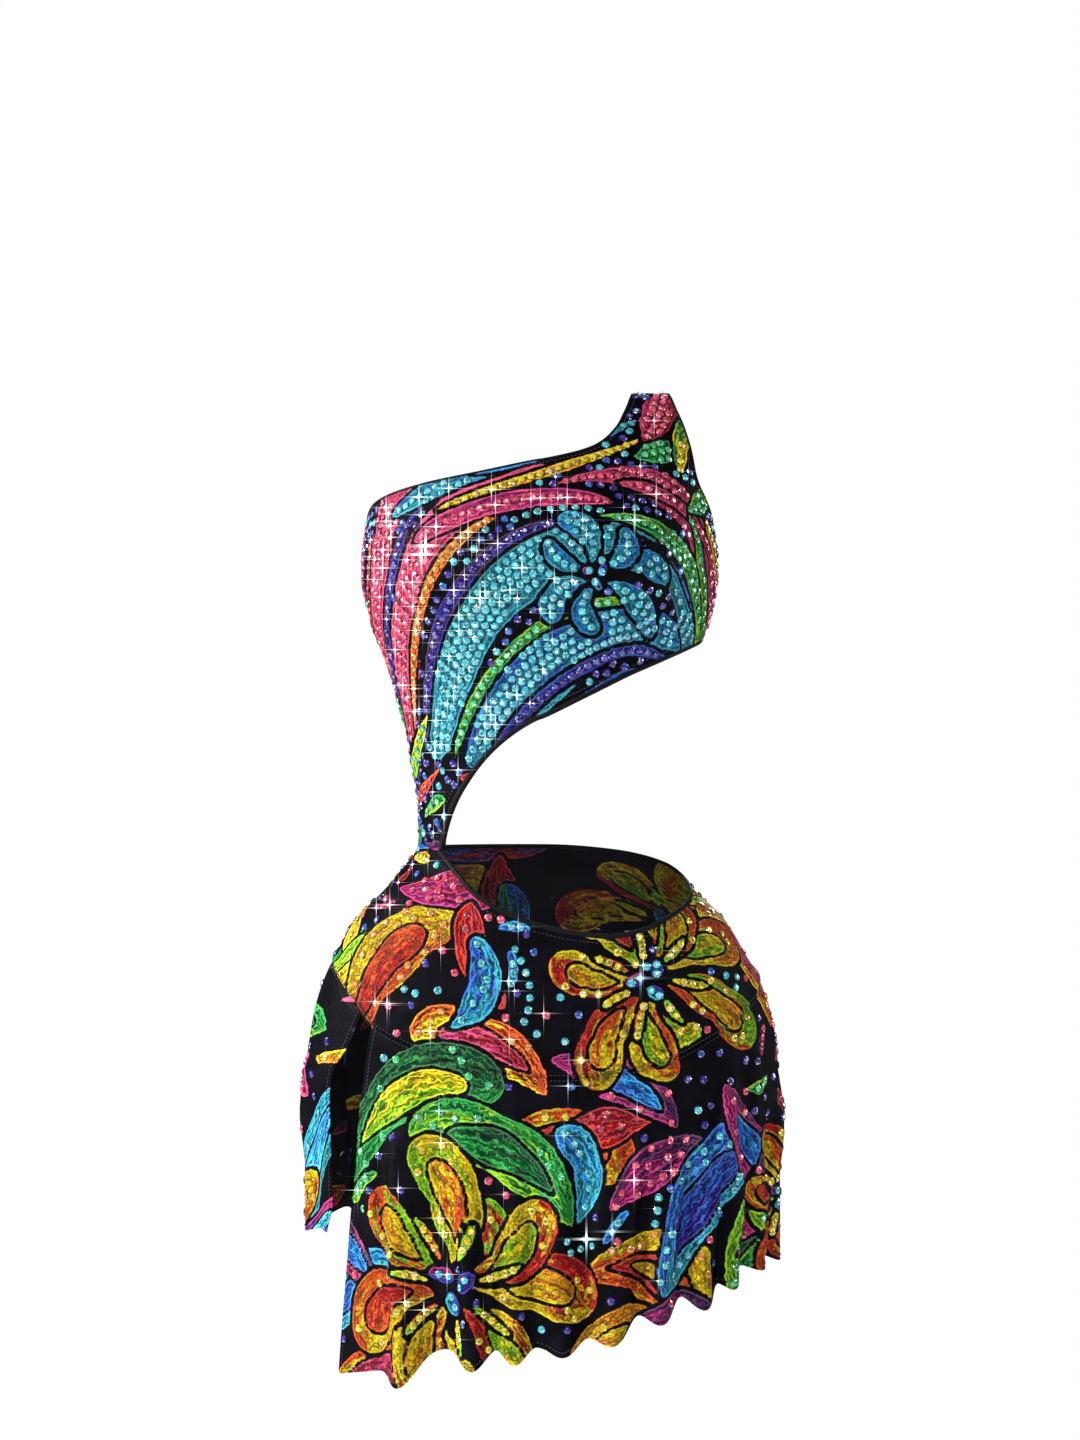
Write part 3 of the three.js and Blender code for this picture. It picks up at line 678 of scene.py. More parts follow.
def crease_cloth(panel):
    """Raises the panel's creases, which die out at its edges, or at a flounce's seam only."""
    height = np.zeros(len(panel.places))
    for *line, rise in CREASES[panel.name]:
        crease = Line(*line, CREASE_EASE, CREASE_EASE)
        inside, _, side = crease.reach(panel.places)
        half = np.maximum(inside + np.abs(side), 0) / (crease.width / 2)
        height += rise * half * bell(side, crease.width / 2)
    calm = np.clip(panel.from_edge.ravel() / CREASE_FADE, 0, 1)
    if panel.kind == "flounce":
        calm = np.clip((panel.down - panel.down[:, :1]).ravel() / CREASE_FADE, 0, 1)
    height = (height * calm).reshape(panel.across.shape)
    if panel.kind == "yoke":
        height += SEAM_RISE * bell(panel.down[:, -1:] - panel.down - SEAM_IN, SEAM_WIDE)
    if panel.kind == "flounce":
        height -= SEAM_SINK * bell(panel.down - panel.down[:, :1] - SEAM_IN, SEAM_WIDE)
    panel.raise_cloth(height)


# Where a core starts along its motif, its share of the motif's length and width, and the
# second ink that goes with its own.
CORE_START, CORE_LENGTH, CORE_WIDTH = 0.2, 0.62, 0.5
CORE_SECONDS = {
    "forest": "green", "lime": "yellow", "orange": "yellow", "red": "orange", "gold": "yellow",
    "crimson": "rose", "blue": "sky", "violet": "blue", "yellow": "amber", "sky": "aqua",
}


def with_core(motif):
    """A motif and the smaller ones painted inside it."""
    motifs = [motif]
    for ink in motif.core:
        last = motifs[-1]
        start = last.place(CORE_START, 0)
        motifs.append(Motif(last.kind, *start, last.angle + CORE_START * last.bend,
                            CORE_LENGTH * last.length, CORE_WIDTH * last.width,
                            CORE_LENGTH * last.bend, ink, CORE_SECONDS[ink], motif.stones, "none",
                            gap=INNER_GAP))
    return motifs


PETAL_LEANS = (7, -8, 3, -10, 6, -3)
PETAL_SIZES = (1, 0.8, 0.94, 0.72, 0.9, 0.78)
BIG_BLOSSOM = 60
# How far from the middle petals, stamens and the heart's buds start, as shares of the radius.
PETAL_START, STAMEN_START, HEART_START = 0.16, 0.2, 0.07
PETAL_LENGTH, BIG_WIDTH, SMALL_WIDTH, PETAL_LEAN, COUNTER_CURL = 0.92, 3.3, 2.7, 0.35, -0.7
# How an under petal is turned from its petal, and how long, wide and curled it is beside it.
UNDER_TURN, UNDER_LENGTH, UNDER_WIDTH, UNDER_CURL = 16, 0.8, 0.6, 1.7
STAMEN_TURN, STAMEN_LENGTH, STAMEN_WIDTH, STAMEN_BEND = -8, 0.36, 6.5, 20
HEART_TURN, HEART_LENGTH, HEART_WIDTH = 60, 0.14, 0.11


def place_round(across, down, reach, angle):
    """The place at a reach and an angle from a middle."""
    lean = math.radians(angle)
    return across + reach * math.cos(lean), down - reach * math.sin(lean)


def blossom(across, down, radius, petals, turn, bend, inks, heart, stones):
    """Curled petals of uneven size round a heart, with smaller ones painted inside them."""
    motifs = []
    big = radius > BIG_BLOSSOM
    for k in range(petals):
        ink, second, third = (inks[(k + step) % len(inks)] for step in (0, 1, 2))
        angle = turn + 360 * k / petals + PETAL_LEANS[k % 6]
        size = radius * PETAL_SIZES[k % 6]
        curl = bend * (1 if k % 3 else COUNTER_CURL)
        start = place_round(across, down, PETAL_START * radius, angle)
        width = (BIG_WIDTH if big else SMALL_WIDTH) * size / petals
        heading = angle - PETAL_LEAN * curl
        if big and k % 2:
            motifs.append(Motif("petal", *start, heading + UNDER_TURN, UNDER_LENGTH * size,
                                UNDER_WIDTH * width, UNDER_CURL * curl, third, ink, stones,
                                "few"))
        motifs += with_core(Motif(
            "petal", *start, heading, PETAL_LENGTH * size, width, curl, ink, second, stones,
            "few" if big else "full", (third,) if big else ()))
    for k in range(petals if big else 0):
        angle = turn + 360 * (k + 0.5) / petals
        start = place_round(across, down, STAMEN_START * radius, angle)
        motifs.append(Motif("bud", *start, angle + STAMEN_TURN,
                            STAMEN_LENGTH * radius * PETAL_SIZES[k % 6], STAMEN_WIDTH,
                            STAMEN_BEND, inks[(k + 2) % len(inks)], "lime", stones, "line"))
    for k, ink in enumerate((heart, "magenta", "turquoise")):
        angle = turn + 120 * k
        start = place_round(across, down, HEART_START * radius, angle)
        motifs.append(Motif("bud", *start, angle + HEART_TURN, HEART_LENGTH * radius,
                            HEART_WIDTH * radius, 0, ink, "violet", "aqua", "line",
                            gap=INNER_GAP))
    return motifs


FILL_SPACING, FILL_CLEAR, FILL_WOBBLE, FILL_NEAR = 25, 5, 6, 120
FILL_SIZES = (0.8, 1.2)
FILLERS = [
    # kind, length, width, bend, ink, second, stones
    ("leaf", 34, 11, 50, "green", "lime", "mint"),
    ("bud", 26, 9, 30, "crimson", "red", "ruby"),
    ("leaf", 38, 12, -60, "magenta", "rose", "salmon"),
    ("bud", 28, 8, -40, "blue", "sky", "aqua"),
    ("leaf", 34, 12, 40, "amber", "yellow", "yellow"),
    ("bud", 24, 9, 20, "plum", "magenta", "salmon"),
]


def fillers(motifs, box, rng):
    """Small leaves and buds for the open places between the motifs."""
    made = []
    left, right, top, bottom = box
    for row, down in enumerate(np.arange(top, bottom, FILL_SPACING)):
        for across in np.arange(left + FILL_SPACING / 2 * (row % 2), right, FILL_SPACING):
            kind, length, width, bend, ink, second, stones = FILLERS[rng.integers(len(FILLERS))]
            start = np.array([across, down]) + rng.uniform(-FILL_WOBBLE, FILL_WOBBLE, 2)
            motif = Motif(kind, *start, rng.uniform(0, 360), length * rng.uniform(*FILL_SIZES),
                          width, bend, ink, second, stones, "line")
            along = motif.spine[::4]
            if all((other.reach(along)[0] < -FILL_CLEAR).all() for other in motifs + made
                   if np.abs(other.spine - start).min(0).max() < FILL_NEAR):
                made.append(motif)
    return made


def make_print(motif_rows, blossom_rows, box):
    """All motifs of one print, the lowest first, with fillers inside a box of the cloth."""
    motifs = [made for row in motif_rows for made in with_core(Motif(*row))]
    for row in blossom_rows:
        motifs += blossom(*row)
    return motifs + fillers(motifs, box, np.random.default_rng(FILL_SEED))


# The back's print is the front's turned about and moved, with some inks changed for others.
BODICE_MOVE, SKIRT_MOVE = (14, 0), (-22, -38)
BACK_INKS = {
    "magenta": "blue", "rose": "orange", "orange": "rose", "turquoise": "green",
    "green": "turquoise", "salmon": "amber", "amber": "salmon", "aqua": "mint", "mint": "aqua",
    "lime": "sky", "plum": "violet", "pink": "amber", "forest": "teal",
}
# Motifs that only the back's skirt has.
BACK_MOTIFS = [
    ("hook", 356, 590, -126, 170, 54, 50, "turquoise", "teal", "aqua", "few", ("sky",)),
    ("leaf", 250, 600, -60, 130, 42, -50, "magenta", "plum", "salmon", "few", ("blue",)),
    ("petal", 372, 700, -150, 130, 50, 60, "yellow", "orange", "yellow", "few", ("red",)),
    ("hook", 300, 560, 150, 120, 40, 70, "green", "lime", "mint", "few", ("forest",)),
    ("leaf", 300, 770, 60, 110, 34, -50, "violet", "magenta", "violet", "few", ("sky",)),
    ("petal", 210, 700, -20, 120, 46, 70, "orange", "yellow", "amber", "few", ("crimson",)),
]


def turned_ink(ink):
    return BACK_INKS.get(ink, ink)


def turned_motifs(rows, move):
    return [(kind, move[0] - across, down + move[1], 180 - angle, length, width, -bend,
             turned_ink(ink), turned_ink(second), turned_ink(stones), *rest)
            for kind, across, down, angle, length, width, bend, ink, second, stones, *rest in rows]


def turned_blossoms(rows, move):
    return [(move[0] - across, down + move[1], radius, petals, 180 - turn, -bend, inks[::-1],
             heart, stones)
            for across, down, radius, petals, turn, bend, inks, heart, stones in rows]


PRINT_FORMS = {
    # print: (motifs, blossoms, box as left, right, top and bottom)
    "bodice_front": (BODICE_MOTIFS, BODICE_BLOSSOMS, (-200, 200, 20, 400)),
    "bodice_back": (turned_motifs(BODICE_MOTIFS, BODICE_MOVE),
                    turned_blossoms(BODICE_BLOSSOMS, BODICE_MOVE), (-190, 190, 20, 400)),
    "skirt_front": (SKIRT_MOTIFS, SKIRT_BLOSSOMS, (-210, 320, 380, 790)),
    "skirt_back": (turned_motifs(SKIRT_MOTIFS, SKIRT_MOVE) + BACK_MOTIFS,
                   turned_blossoms(SKIRT_BLOSSOMS, SKIRT_MOVE), (-320, 360, 380, 700)),
}
PRINTS = {name: make_print(*form) for name, form in PRINT_FORMS.items()}


def draw_print(panel, motifs):
    """Works out, at each point of a panel, which motif shows there and where in it."""
    places = panel.places
    count = len(places)
    rim = np.full(count, -float(PRINT_REACH))
    owner = np.full(count, -1)
    tone, tint = np.zeros((count, 4)), np.zeros((count, 4))
    flow = np.zeros((count, 3))
    covered = np.zeros(count, bool)
    for index, motif in enumerate(motifs):
        low, high = motif.spine.min(0) - PRINT_REACH, motif.spine.max(0) + PRINT_REACH
        near = np.flatnonzero(((places > low) & (places < high)).all(1))
        if not len(near):
            continue
        inside, along, side = motif.reach(places[near])
        covered[near] |= inside > 0
        rim[near] = np.minimum(rim[near], -inside - motif.gap)
        won = inside > rim[near]
        spots = near[won]
        rim[spots] = inside[won]
        owner[spots] = index
        half = np.maximum(np.abs(side[won]) + np.maximum(inside[won], 0), 1)
        share = side[won] / half
        blend = BLEND_ALONG * along[won] + BLEND_OVER * (0.5 + 0.5 * share)
        tone[spots, :3], tint[spots, :3] = motif.inks
        tone[spots, 3], tint[spots, 3] = motif.contour, np.clip(blend, 0, 1)
        lanes = share * motif.width / LANE / 2
        flow[spots] = np.stack([along[won] * motif.length, side[won], lanes], -1)
    line = covered & (rim < 0)
    tone[line, :3] = tint[line, :3] = linear_ink("night")
    panel.owner = np.where(rim > 0, owner, -1)
    panel.rim = rim
    panel.marks = {
        "print_rim": ("FLOAT", rim),
        "print_ink": ("FLOAT_COLOR", tone),
        "print_second_ink": ("FLOAT_COLOR", tint),
        "print_flow": ("FLOAT_VECTOR", flow),
    }


def add_marks(mesh, marks, domain="POINT"):
    """Writes named values on a mesh, which the materials read."""
    for name, (kind, values) in marks.items():
        layer = mesh.attributes.new(name, kind, domain)
        key = {"FLOAT": "value", "FLOAT_COLOR": "color", "FLOAT_VECTOR": "vector"}[kind]
        layer.data.foreach_set(key, np.asarray(values, np.float32).ravel())


def zip_columns(panel, spot):
    """Triangles between neighbouring columns, each joined by the shorter way across."""
    faces = []
    for k in range(len(spot) - 1):
        left, right = spot[k].tolist(), spot[k + 1].tolist()
        high, low = panel.down[k].tolist(), panel.down[k + 1].tolist()
        a = b = 0
        last = len(left) - 1
        while a < last or b < last:
            if b == last or (a < last and abs(high[a + 1] - low[b]) < abs(low[b + 1] - high[a])):
                faces.append([left[a], left[a + 1], right[b]])
                a += 1
            else:
                faces.append([left[a], right[b + 1], right[b]])
                b += 1
    return faces


RIGHT_SIDE, WRONG_SIDE = 0, 1


def cloth_object(panel):
    """A thin closed shell over a panel's grid, with larger faces on its wrong side."""
    outer = panel.points * MM
    inner = ((panel.points - panel.normals * CLOTH_THICK) * MM)[::2, ::2]
    skin = panel.across.size
    spot = np.arange(skin).reshape(panel.across.shape)
    back = skin + np.arange(inner[..., 0].size).reshape(inner.shape[:2])
    corners = [back[1:, :-1], back[1:, 1:], back[:-1, 1:], back[:-1, :-1]]
    quads = np.stack([corner.ravel() for corner in corners], 1).tolist()
    faces = zip_columns(panel, spot) + quads
    ring, back_ring = rim_ring(spot), rim_ring(back)
    for k in range(len(back_ring)):
        after = (k + 1) % len(back_ring)
        faces.append([ring[2 * k], ring[2 * k + 1], ring[2 * after], back_ring[after],
                      back_ring[k]])
    points = np.concatenate([outer.reshape(-1, 3), inner.reshape(-1, 3)])
    piece = add_mesh(panel.name + "_cloth", points, faces, smooth=True)
    shared = spot[::2, ::2].ravel()
    layer = np.repeat([RIGHT_SIDE, WRONG_SIDE], [skin, len(shared)])
    add_marks(piece.data, panel.marks_at(np.concatenate([spot.ravel(), shared]), layer))
    return piece


def rim_ring(grid):
    """A grid's rim points in order, once round."""
    return np.concatenate([grid[:-1, 0], grid[-1, :-1], grid[:0:-1, -1], grid[0, :0:-1]])


def finish_piece(piece, material):
    """Gives a piece its material and ties it to the dress."""
    piece.data.materials.append(material)
    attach(piece, "root")


def add_mesh(name, points, faces, smooth=False):
    mesh = bpy.data.meshes.new(name)
    mesh.from_pydata(np.asarray(points).tolist(), [], faces)
    mesh.polygons.foreach_set("use_smooth", np.full(len(faces), smooth))
    mesh.update()
    piece = bpy.data.objects.new(name, mesh)
    bpy.context.scene.collection.objects.link(piece)
    return piece


def sweep_form(path, facings, profile, closed=False):
    """Carries a profile of (aside, out) places along a path that has a facing at each point."""
    if closed:
        ahead = np.roll(path, -1, 0) - np.roll(path, 1, 0)
    else:
        ahead = np.gradient(path, axis=0)
    aside = unit(np.cross(facings, unit(ahead)))
    profile = np.asarray(profile, float)
    points = (path[:, None] + aside[:, None] * profile[None, :, :1]
              + facings[:, None] * profile[None, :, 1:])
    sides, count = len(profile), len(path)
    faces = []
    for k in range(count if closed else count - 1):
        here, there = sides * k, sides * ((k + 1) % count)
        for c in range(sides):
            after = (c + 1) % sides
            faces.append([here + c, there + c, there + after, here + after])
    if not closed:
        faces.append(list(range(sides)))
        faces.append([sides * (count - 1) + c for c in range(sides)][::-1])
    return points.reshape(-1, 3), faces


def joined(name, forms):
    """One piece made of several forms, each a pair of points and faces."""
    points, faces, start = [], [], 0
    for form_points, form_faces in forms:
        points.append(form_points)
        faces += [[start + spot for spot in face] for face in form_faces]
        start += len(form_points)
    return add_mesh(name, np.concatenate(points) * MM, faces, smooth=True)


def round_profile(half_wide, half_tall, aside, out, sides=8):
    """An oval section round a middle that is given as aside and out."""
    turns = np.arange(sides) * math.tau / sides
    return np.stack([aside + half_wide * np.cos(turns), out + half_tall * np.sin(turns)], -1)


def edge_run(panel, edge, low=-math.inf, high=math.inf):
    """Points and facings along one edge of a panel, between two turns where it runs round."""
    if edge in ("top", "hem"):
        row = 0 if edge == "top" else -1
        keep = (panel.turns >= low - TURN_SLACK) & (panel.turns <= high + TURN_SLACK)
        return panel.points[keep, row], panel.normals[keep, row]
    column = 0 if edge == "first" else -1
    return panel.points[column], panel.normals[column]


def free_edges(panels):
    """The necklines and armholes, then the hems and slits, as runs of points and facings."""
    neck, arm = STRAP_NECK_TURN, STRAP_ARM_TURN
    front, back = panels["bodice_front"], panels["bodice_back"]
    tops = [edge_run(front, "top", high=neck), edge_run(front, "top", low=arm),
            edge_run(back, "top", high=180 - arm), edge_run(back, "top", low=180 - neck)]
    front, back = panels["flounce_front"], panels["flounce_back"]
    hems = [edge_run(front, "hem"), edge_run(front, "first"), edge_run(back, "hem"),
            edge_run(back, "last")]
    return tops, hems


def cutout_run(panels):
    """The open waist's edge: along the bodice to the strip's back corner, home by the yoke."""
    back_strip = 180 - STRIP_TURN
    runs = [edge_run(panels["bodice_front"], "hem", low=STRIP_TURN),
            edge_run(panels["bodice_back"], "hem", high=back_strip)]
    for name, low, high in (("yoke_back", 90, back_strip), ("yoke_front", STRIP_TURN, 90)):
        points, facings = edge_run(panels[name], "top", low, high)
        runs.append((points[::-1], facings[::-1]))
    points = np.concatenate([run[0][:-1] for run in runs])
    facings = np.concatenate([run[1][:-1] for run in runs])
    return points, facings


def even_run(path, facings, spacing):
    """The same run with points a fixed way apart, clear of its two ends."""
    steps = np.linalg.norm(np.diff(path, axis=0), axis=-1)
    way = np.concatenate([[0], np.cumsum(steps)])
    at = np.arange(spacing / 2, way[-1] - spacing / 2, spacing)
    path, facings = (np.stack([np.interp(at, way, column) for column in values.T], -1)
                     for values in (path, facings))
    return path, unit(facings)


STITCH_LONG, STITCH_APART, STITCH_RISE, STITCH_LIFT = 2.1, 3.3, 0.3, 0.12
# Half the width and height of a stitch's thread, and the sides that it is drawn with.
THREAD, THREAD_SIDES = (0.32, 0.256), 5
# Places along one stitch, as shares of its length, and its rise at them.
STITCH_WAY, STITCH_ARCH = (-0.5, -0.3, 0.3, 0.5), (-0.15, 1, 1, -0.15)


def stitch_forms(path, facings, aside):
    """A row of short stitches at a distance to the left of an edge."""
    middles, facings = even_run(path, facings, STITCH_APART)
    ahead = unit(np.gradient(middles, axis=0))
    left = unit(np.cross(facings, ahead))
    middles = middles + left * aside + facings * STITCH_LIFT
    way = np.array(STITCH_WAY)[:, None] * STITCH_LONG
    rise = np.array(STITCH_ARCH)[:, None] * STITCH_RISE
    profile = round_profile(*THREAD, 0, 0, THREAD_SIDES)
    forms = []
    for middle, facing, forward in zip(middles, facings, ahead):
        run = middle + way * forward + rise * facing
        forms.append(sweep_form(run, np.repeat(facing[None], len(way), 0), profile))
    return forms


def seam_runs(panels):
    """The strap's seam, the side seams and the hip seam."""
    runs = [edge_run(panels["bodice_front"], "top", STRAP_NECK_TURN, STRAP_ARM_TURN)]
    runs += [edge_run(panels[name], edge) for name in ("bodice_front", "yoke_front")
             for edge in ("first", "last")]
    runs.append(edge_run(panels["flounce_front"], "last"))
    return runs + [edge_run(panels[name], "hem") for name in ("yoke_front", "yoke_back")]


# The turned-in cloth behind a seam: half its width, how deep it lies, and its section's corners
# as aside and out, in order.
ALLOW_WIDE, ALLOW_LOW, ALLOW_HIGH = 3.2, -0.95, -0.52
ALLOWANCE = [(-ALLOW_WIDE, ALLOW_LOW), (ALLOW_WIDE, ALLOW_LOW), (ALLOW_WIDE, ALLOW_HIGH),
             (-ALLOW_WIDE, ALLOW_HIGH)]
# Half the width and height of each rolled edge, how far aside of the cloth's edge it lies, and
# how far aside each row of stitches does.
NECK_ROLL, HEM_ROLL, CUTOUT_ROLL = (1.15, 0.85), (0.75, 0.5), (2.1, 1.0)
NECK_ASIDE, CUTOUT_ASIDE = 0.5, -0.9
HEM_STITCHES, NECK_STITCHES, CUTOUT_STITCHES, SEAM_STITCHES = 3.2, 3.0, 4.6, 2.2


def hem_roll(panel, side_edge):
    """The narrow rolled hem of a flounce, down its slit too, in the print of the cloth."""
    spots = np.arange(panel.across.size).reshape(panel.across.shape)
    forms, used = [], []
    for edge in (spots[:, -1], spots[side_edge]):
        path = panel.points.reshape(-1, 3)[edge]
        facings = panel.normals.reshape(-1, 3)[edge]
        profile = round_profile(*HEM_ROLL, 0, -CLOTH_THICK / 2)
        forms.append(sweep_form(path, facings, profile))
        used.append(np.repeat(edge, len(profile)))
    piece = joined(panel.name + "_rolled_hem", forms)
    add_marks(piece.data, panel.marks_at(np.concatenate(used), RIGHT_SIDE))
    return piece


def add_edgings(panels, finish, thread_finish):
    """The rolled edges, the stitches beside them and the turned-in cloth behind the seams."""
    tops, hems = free_edges(panels)
    cutout = cutout_run(panels)
    out = -CLOTH_THICK / 2
    neck_profile = round_profile(*NECK_ROLL, NECK_ASIDE, out)
    neck_edging = joined("neckline_edging", [sweep_form(*run, neck_profile) for run in tops])
    cutout_profile = round_profile(*CUTOUT_ROLL, CUTOUT_ASIDE, out)
    cutout_edging = joined("cutout_edging", [sweep_form(*cutout, cutout_profile, closed=True)])
    rows = [(run, -NECK_STITCHES) for run in tops]
    rows += [(run, HEM_STITCHES) for run in hems[:3]]
    rows += [(hems[3], -HEM_STITCHES), (cutout, CUTOUT_STITCHES)]
    for name in ("yoke_front", "yoke_back"):
        rows.append((edge_run(panels[name], "hem"), SEAM_STITCHES))
    for name in ("flounce_front", "flounce_back"):
        rows.append((edge_run(panels[name], "top"), -SEAM_STITCHES))
    forms = [form for run, aside in rows for form in stitch_forms(*run, aside)]
    stitches = joined("edge_stitches", forms)
    allowances = joined("seam_allowances", [
        sweep_form(*run, ALLOWANCE) for run in seam_runs(panels)])
    for piece in (neck_edging, cutout_edging, allowances):
        finish_piece(piece, finish)
    finish_piece(stitches, thread_finish)
    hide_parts("cutout_binding")


# Each stone is a cut glass dome with a flat back.
STONE_RADIUS = 3.45
STONE_SIDES = 8
STONE_RINGS = [
    # share of the radius, height over the cloth, turn in half sides
    (0.96, -0.1, 0), (1, 0.35, 0), (0.66, 1.15, 1), (0.4, 1.45, 1),
]
# How far a stone tilts, in degrees, and how tilt, size and tint vary from stone to stone.
STONE_TILT, TILT_SPREAD = 7, 0.55
SIZE_SPREAD, TINT_SPREAD = (0.95, 1.05), (0.85, 1.2)
# How near two stones may come, as a share of their width, and how far a stone's middle stays
# from a motif's outline and from the cloth's edge.
STONE_SPARE = 0.92
STONE_INSET, STONE_EDGE = 1.5, 3.8
# The first stone's place in a row, in spacings, how much of its radius a row of stones keeps
# inside a motif, and how close the rows of the ground lie.
ROW_START, ROW_REACH, GROUND_ROWS = 0.3, 0.8, 0.87
SETTINGS = {
    # setting: (spacing along, spacing of rows, jitter)
    "full": (7.2, 7.0, 0.2), "line": (7.8, 99, 0.2), "few": (13, 12, 3),
}
GROUND_STONES = {
    # panel kind: (spacing, jitter, tints)
    "bodice": (9.6, 1.2, ("violet", "violet", "violet", "aqua", "blue")),
    "yoke": (19, 4, ("violet", "blue", "violet", "salmon", "aqua")),
    "flounce": (23, 6, ("violet", "blue", "violet", "violet", "salmon", "aqua")),
}


def motif_stones(motif, rng):
    """Places for the stones on one motif, in rows that follow its spine."""
    if motif.setting == "none":
        return []
    along, apart, jitter = SETTINGS[motif.setting]
    reach = motif.half.max() - STONE_RADIUS * ROW_REACH
    rows = max(0, int(reach / apart))
    found = []
    for row in range(-rows, rows + 1):
        count = int(motif.length / along)
        for k in range(count + 1):
            way = (k + (0.5 if row % 2 else 0.0) + ROW_START) * along / motif.length
            if way < 1:
                wobble = rng.uniform(-jitter, jitter, 2)
                found.append(motif.place(way, row * apart) + wobble)
    return found


def cloth_of(panel):
    return "bodice" if panel.kind == "bodice" else "skirt"


def dot_row_stones(panel):
    """Single rows of stones on the ground, along bent lines of their own."""
    found = []
    for across, down, angle, length, bend, tint in DOT_ROWS[cloth_of(panel)]:
        line = Motif("bud", across, down, angle, length, 1, bend, "night", "night", tint, "line")
        count = int(length / DOT_SPACING)
        found += [(line.place(k / count, 0), tint, -1) for k in range(count)]
    return found


def ground_stones(panel, rng):
    """Places and tints of loose stones in staggered rows, for the ground between motifs."""
    spacing, jitter, tints = GROUND_STONES[panel.kind]
    low = panel.across.min(), panel.down.min()
    high = panel.across.max(), panel.down.max()
    found = []
    for row, down in enumerate(np.arange(low[1], high[1], spacing * GROUND_ROWS)):
        for across in np.arange(low[0] + spacing / 2 * (row % 2), high[0], spacing):
            wobble = rng.uniform(-jitter, jitter, 2)
            found.append((np.array([across, down]) + wobble, tints[rng.integers(len(tints))]))
    return found


def choose_stones(panel, motifs, rng):
    """Keeps the places that lie inside their own motif, off the edges and off each other."""
    wanted = dot_row_stones(panel)
    wanted += [(place, motif.stones, k) for k, motif in enumerate(motifs)
               for place in motif_stones(motif, rng)]
    wanted += [(place, tint, -1) for place, tint in ground_stones(panel, rng)]
    vertices, away = nearest(panel.places, [place for place, _, _ in wanted])
    cell = 2 * STONE_RADIUS * STONE_SPARE
    taken, kept = {}, []
    owner, edge = panel.owner.ravel(), panel.from_edge.ravel()
    for (place, tint, k), vertex, off in zip(wanted, vertices, away):
        rim = panel.rim[vertex]
        clear = rim > STONE_INSET if k >= 0 else rim < -STONE_INSET
        if owner[vertex] != k or not clear or edge[vertex] < STONE_EDGE or off > CELL:
            continue
        box = tuple(np.floor(place / cell).astype(int))
        near = [other for i in (-1, 0, 1) for j in (-1, 0, 1)
                for other in taken.get((box[0] + i, box[1] + j), ())]
        if all(np.linalg.norm(place - other) > cell for other in near):
            taken.setdefault(box, []).append(place)
            kept.append((vertex, place, tint))
    return kept


# How many steps of the grid a stone may lie from the point that its place is worked out from.
MOST_STEPS = 2


def on_cloth(panel, vertices, places):
    """Where places on the print come to lie on the panel in space, and its facing there."""
    columns, rows = panel.across.shape
    i, j = np.clip(vertices // rows, 1, columns - 2), np.clip(vertices % rows, 1, rows - 2)
    grids = panel.across, panel.down, panel.points, panel.normals
    by_column = [(values[i + 1, j] - values[i - 1, j]) / 2 for values in grids]
    by_row = [(values[i, j + 1] - values[i, j - 1]) / 2 for values in grids]
    off = places - np.stack([panel.across[i, j], panel.down[i, j]], -1)
    area = by_column[0] * by_row[1] - by_column[1] * by_row[0]
    u = (off[:, 0] * by_row[1] - off[:, 1] * by_row[0]) / area
    v = (by_column[0] * off[:, 1] - by_column[1] * off[:, 0]) / area
    u, v = (np.clip(steps, -MOST_STEPS, MOST_STEPS)[:, None] for steps in (u, v))
    points = panel.points[i, j] + u * by_column[2] + v * by_row[2]
    normals = panel.normals[i, j] + u * by_column[3] + v * by_row[3]
    return points, unit(normals)


def stone_form():
    """The points of one stone round its own middle, and its faces."""
    points = []
    for share, height, twist in STONE_RINGS:
        for k in range(STONE_SIDES):
            turn = math.tau * (k + twist / 2) / STONE_SIDES
            points.append((share * math.cos(turn), share * math.sin(turn), height))
    n = STONE_SIDES
    faces = [list(range(n))[::-1], list(range(3 * n, 4 * n))]
    for k in range(n):
        after = (k + 1) % n
        faces.append([k, after, n + after, n + k])
        faces.append([n + k, n + after, 2 * n + k])
        faces.append([n + after, 2 * n + after, 2 * n + k])
        faces.append([2 * n + k, 2 * n + after, 3 * n + after, 3 * n + k])
    return np.array(points), faces


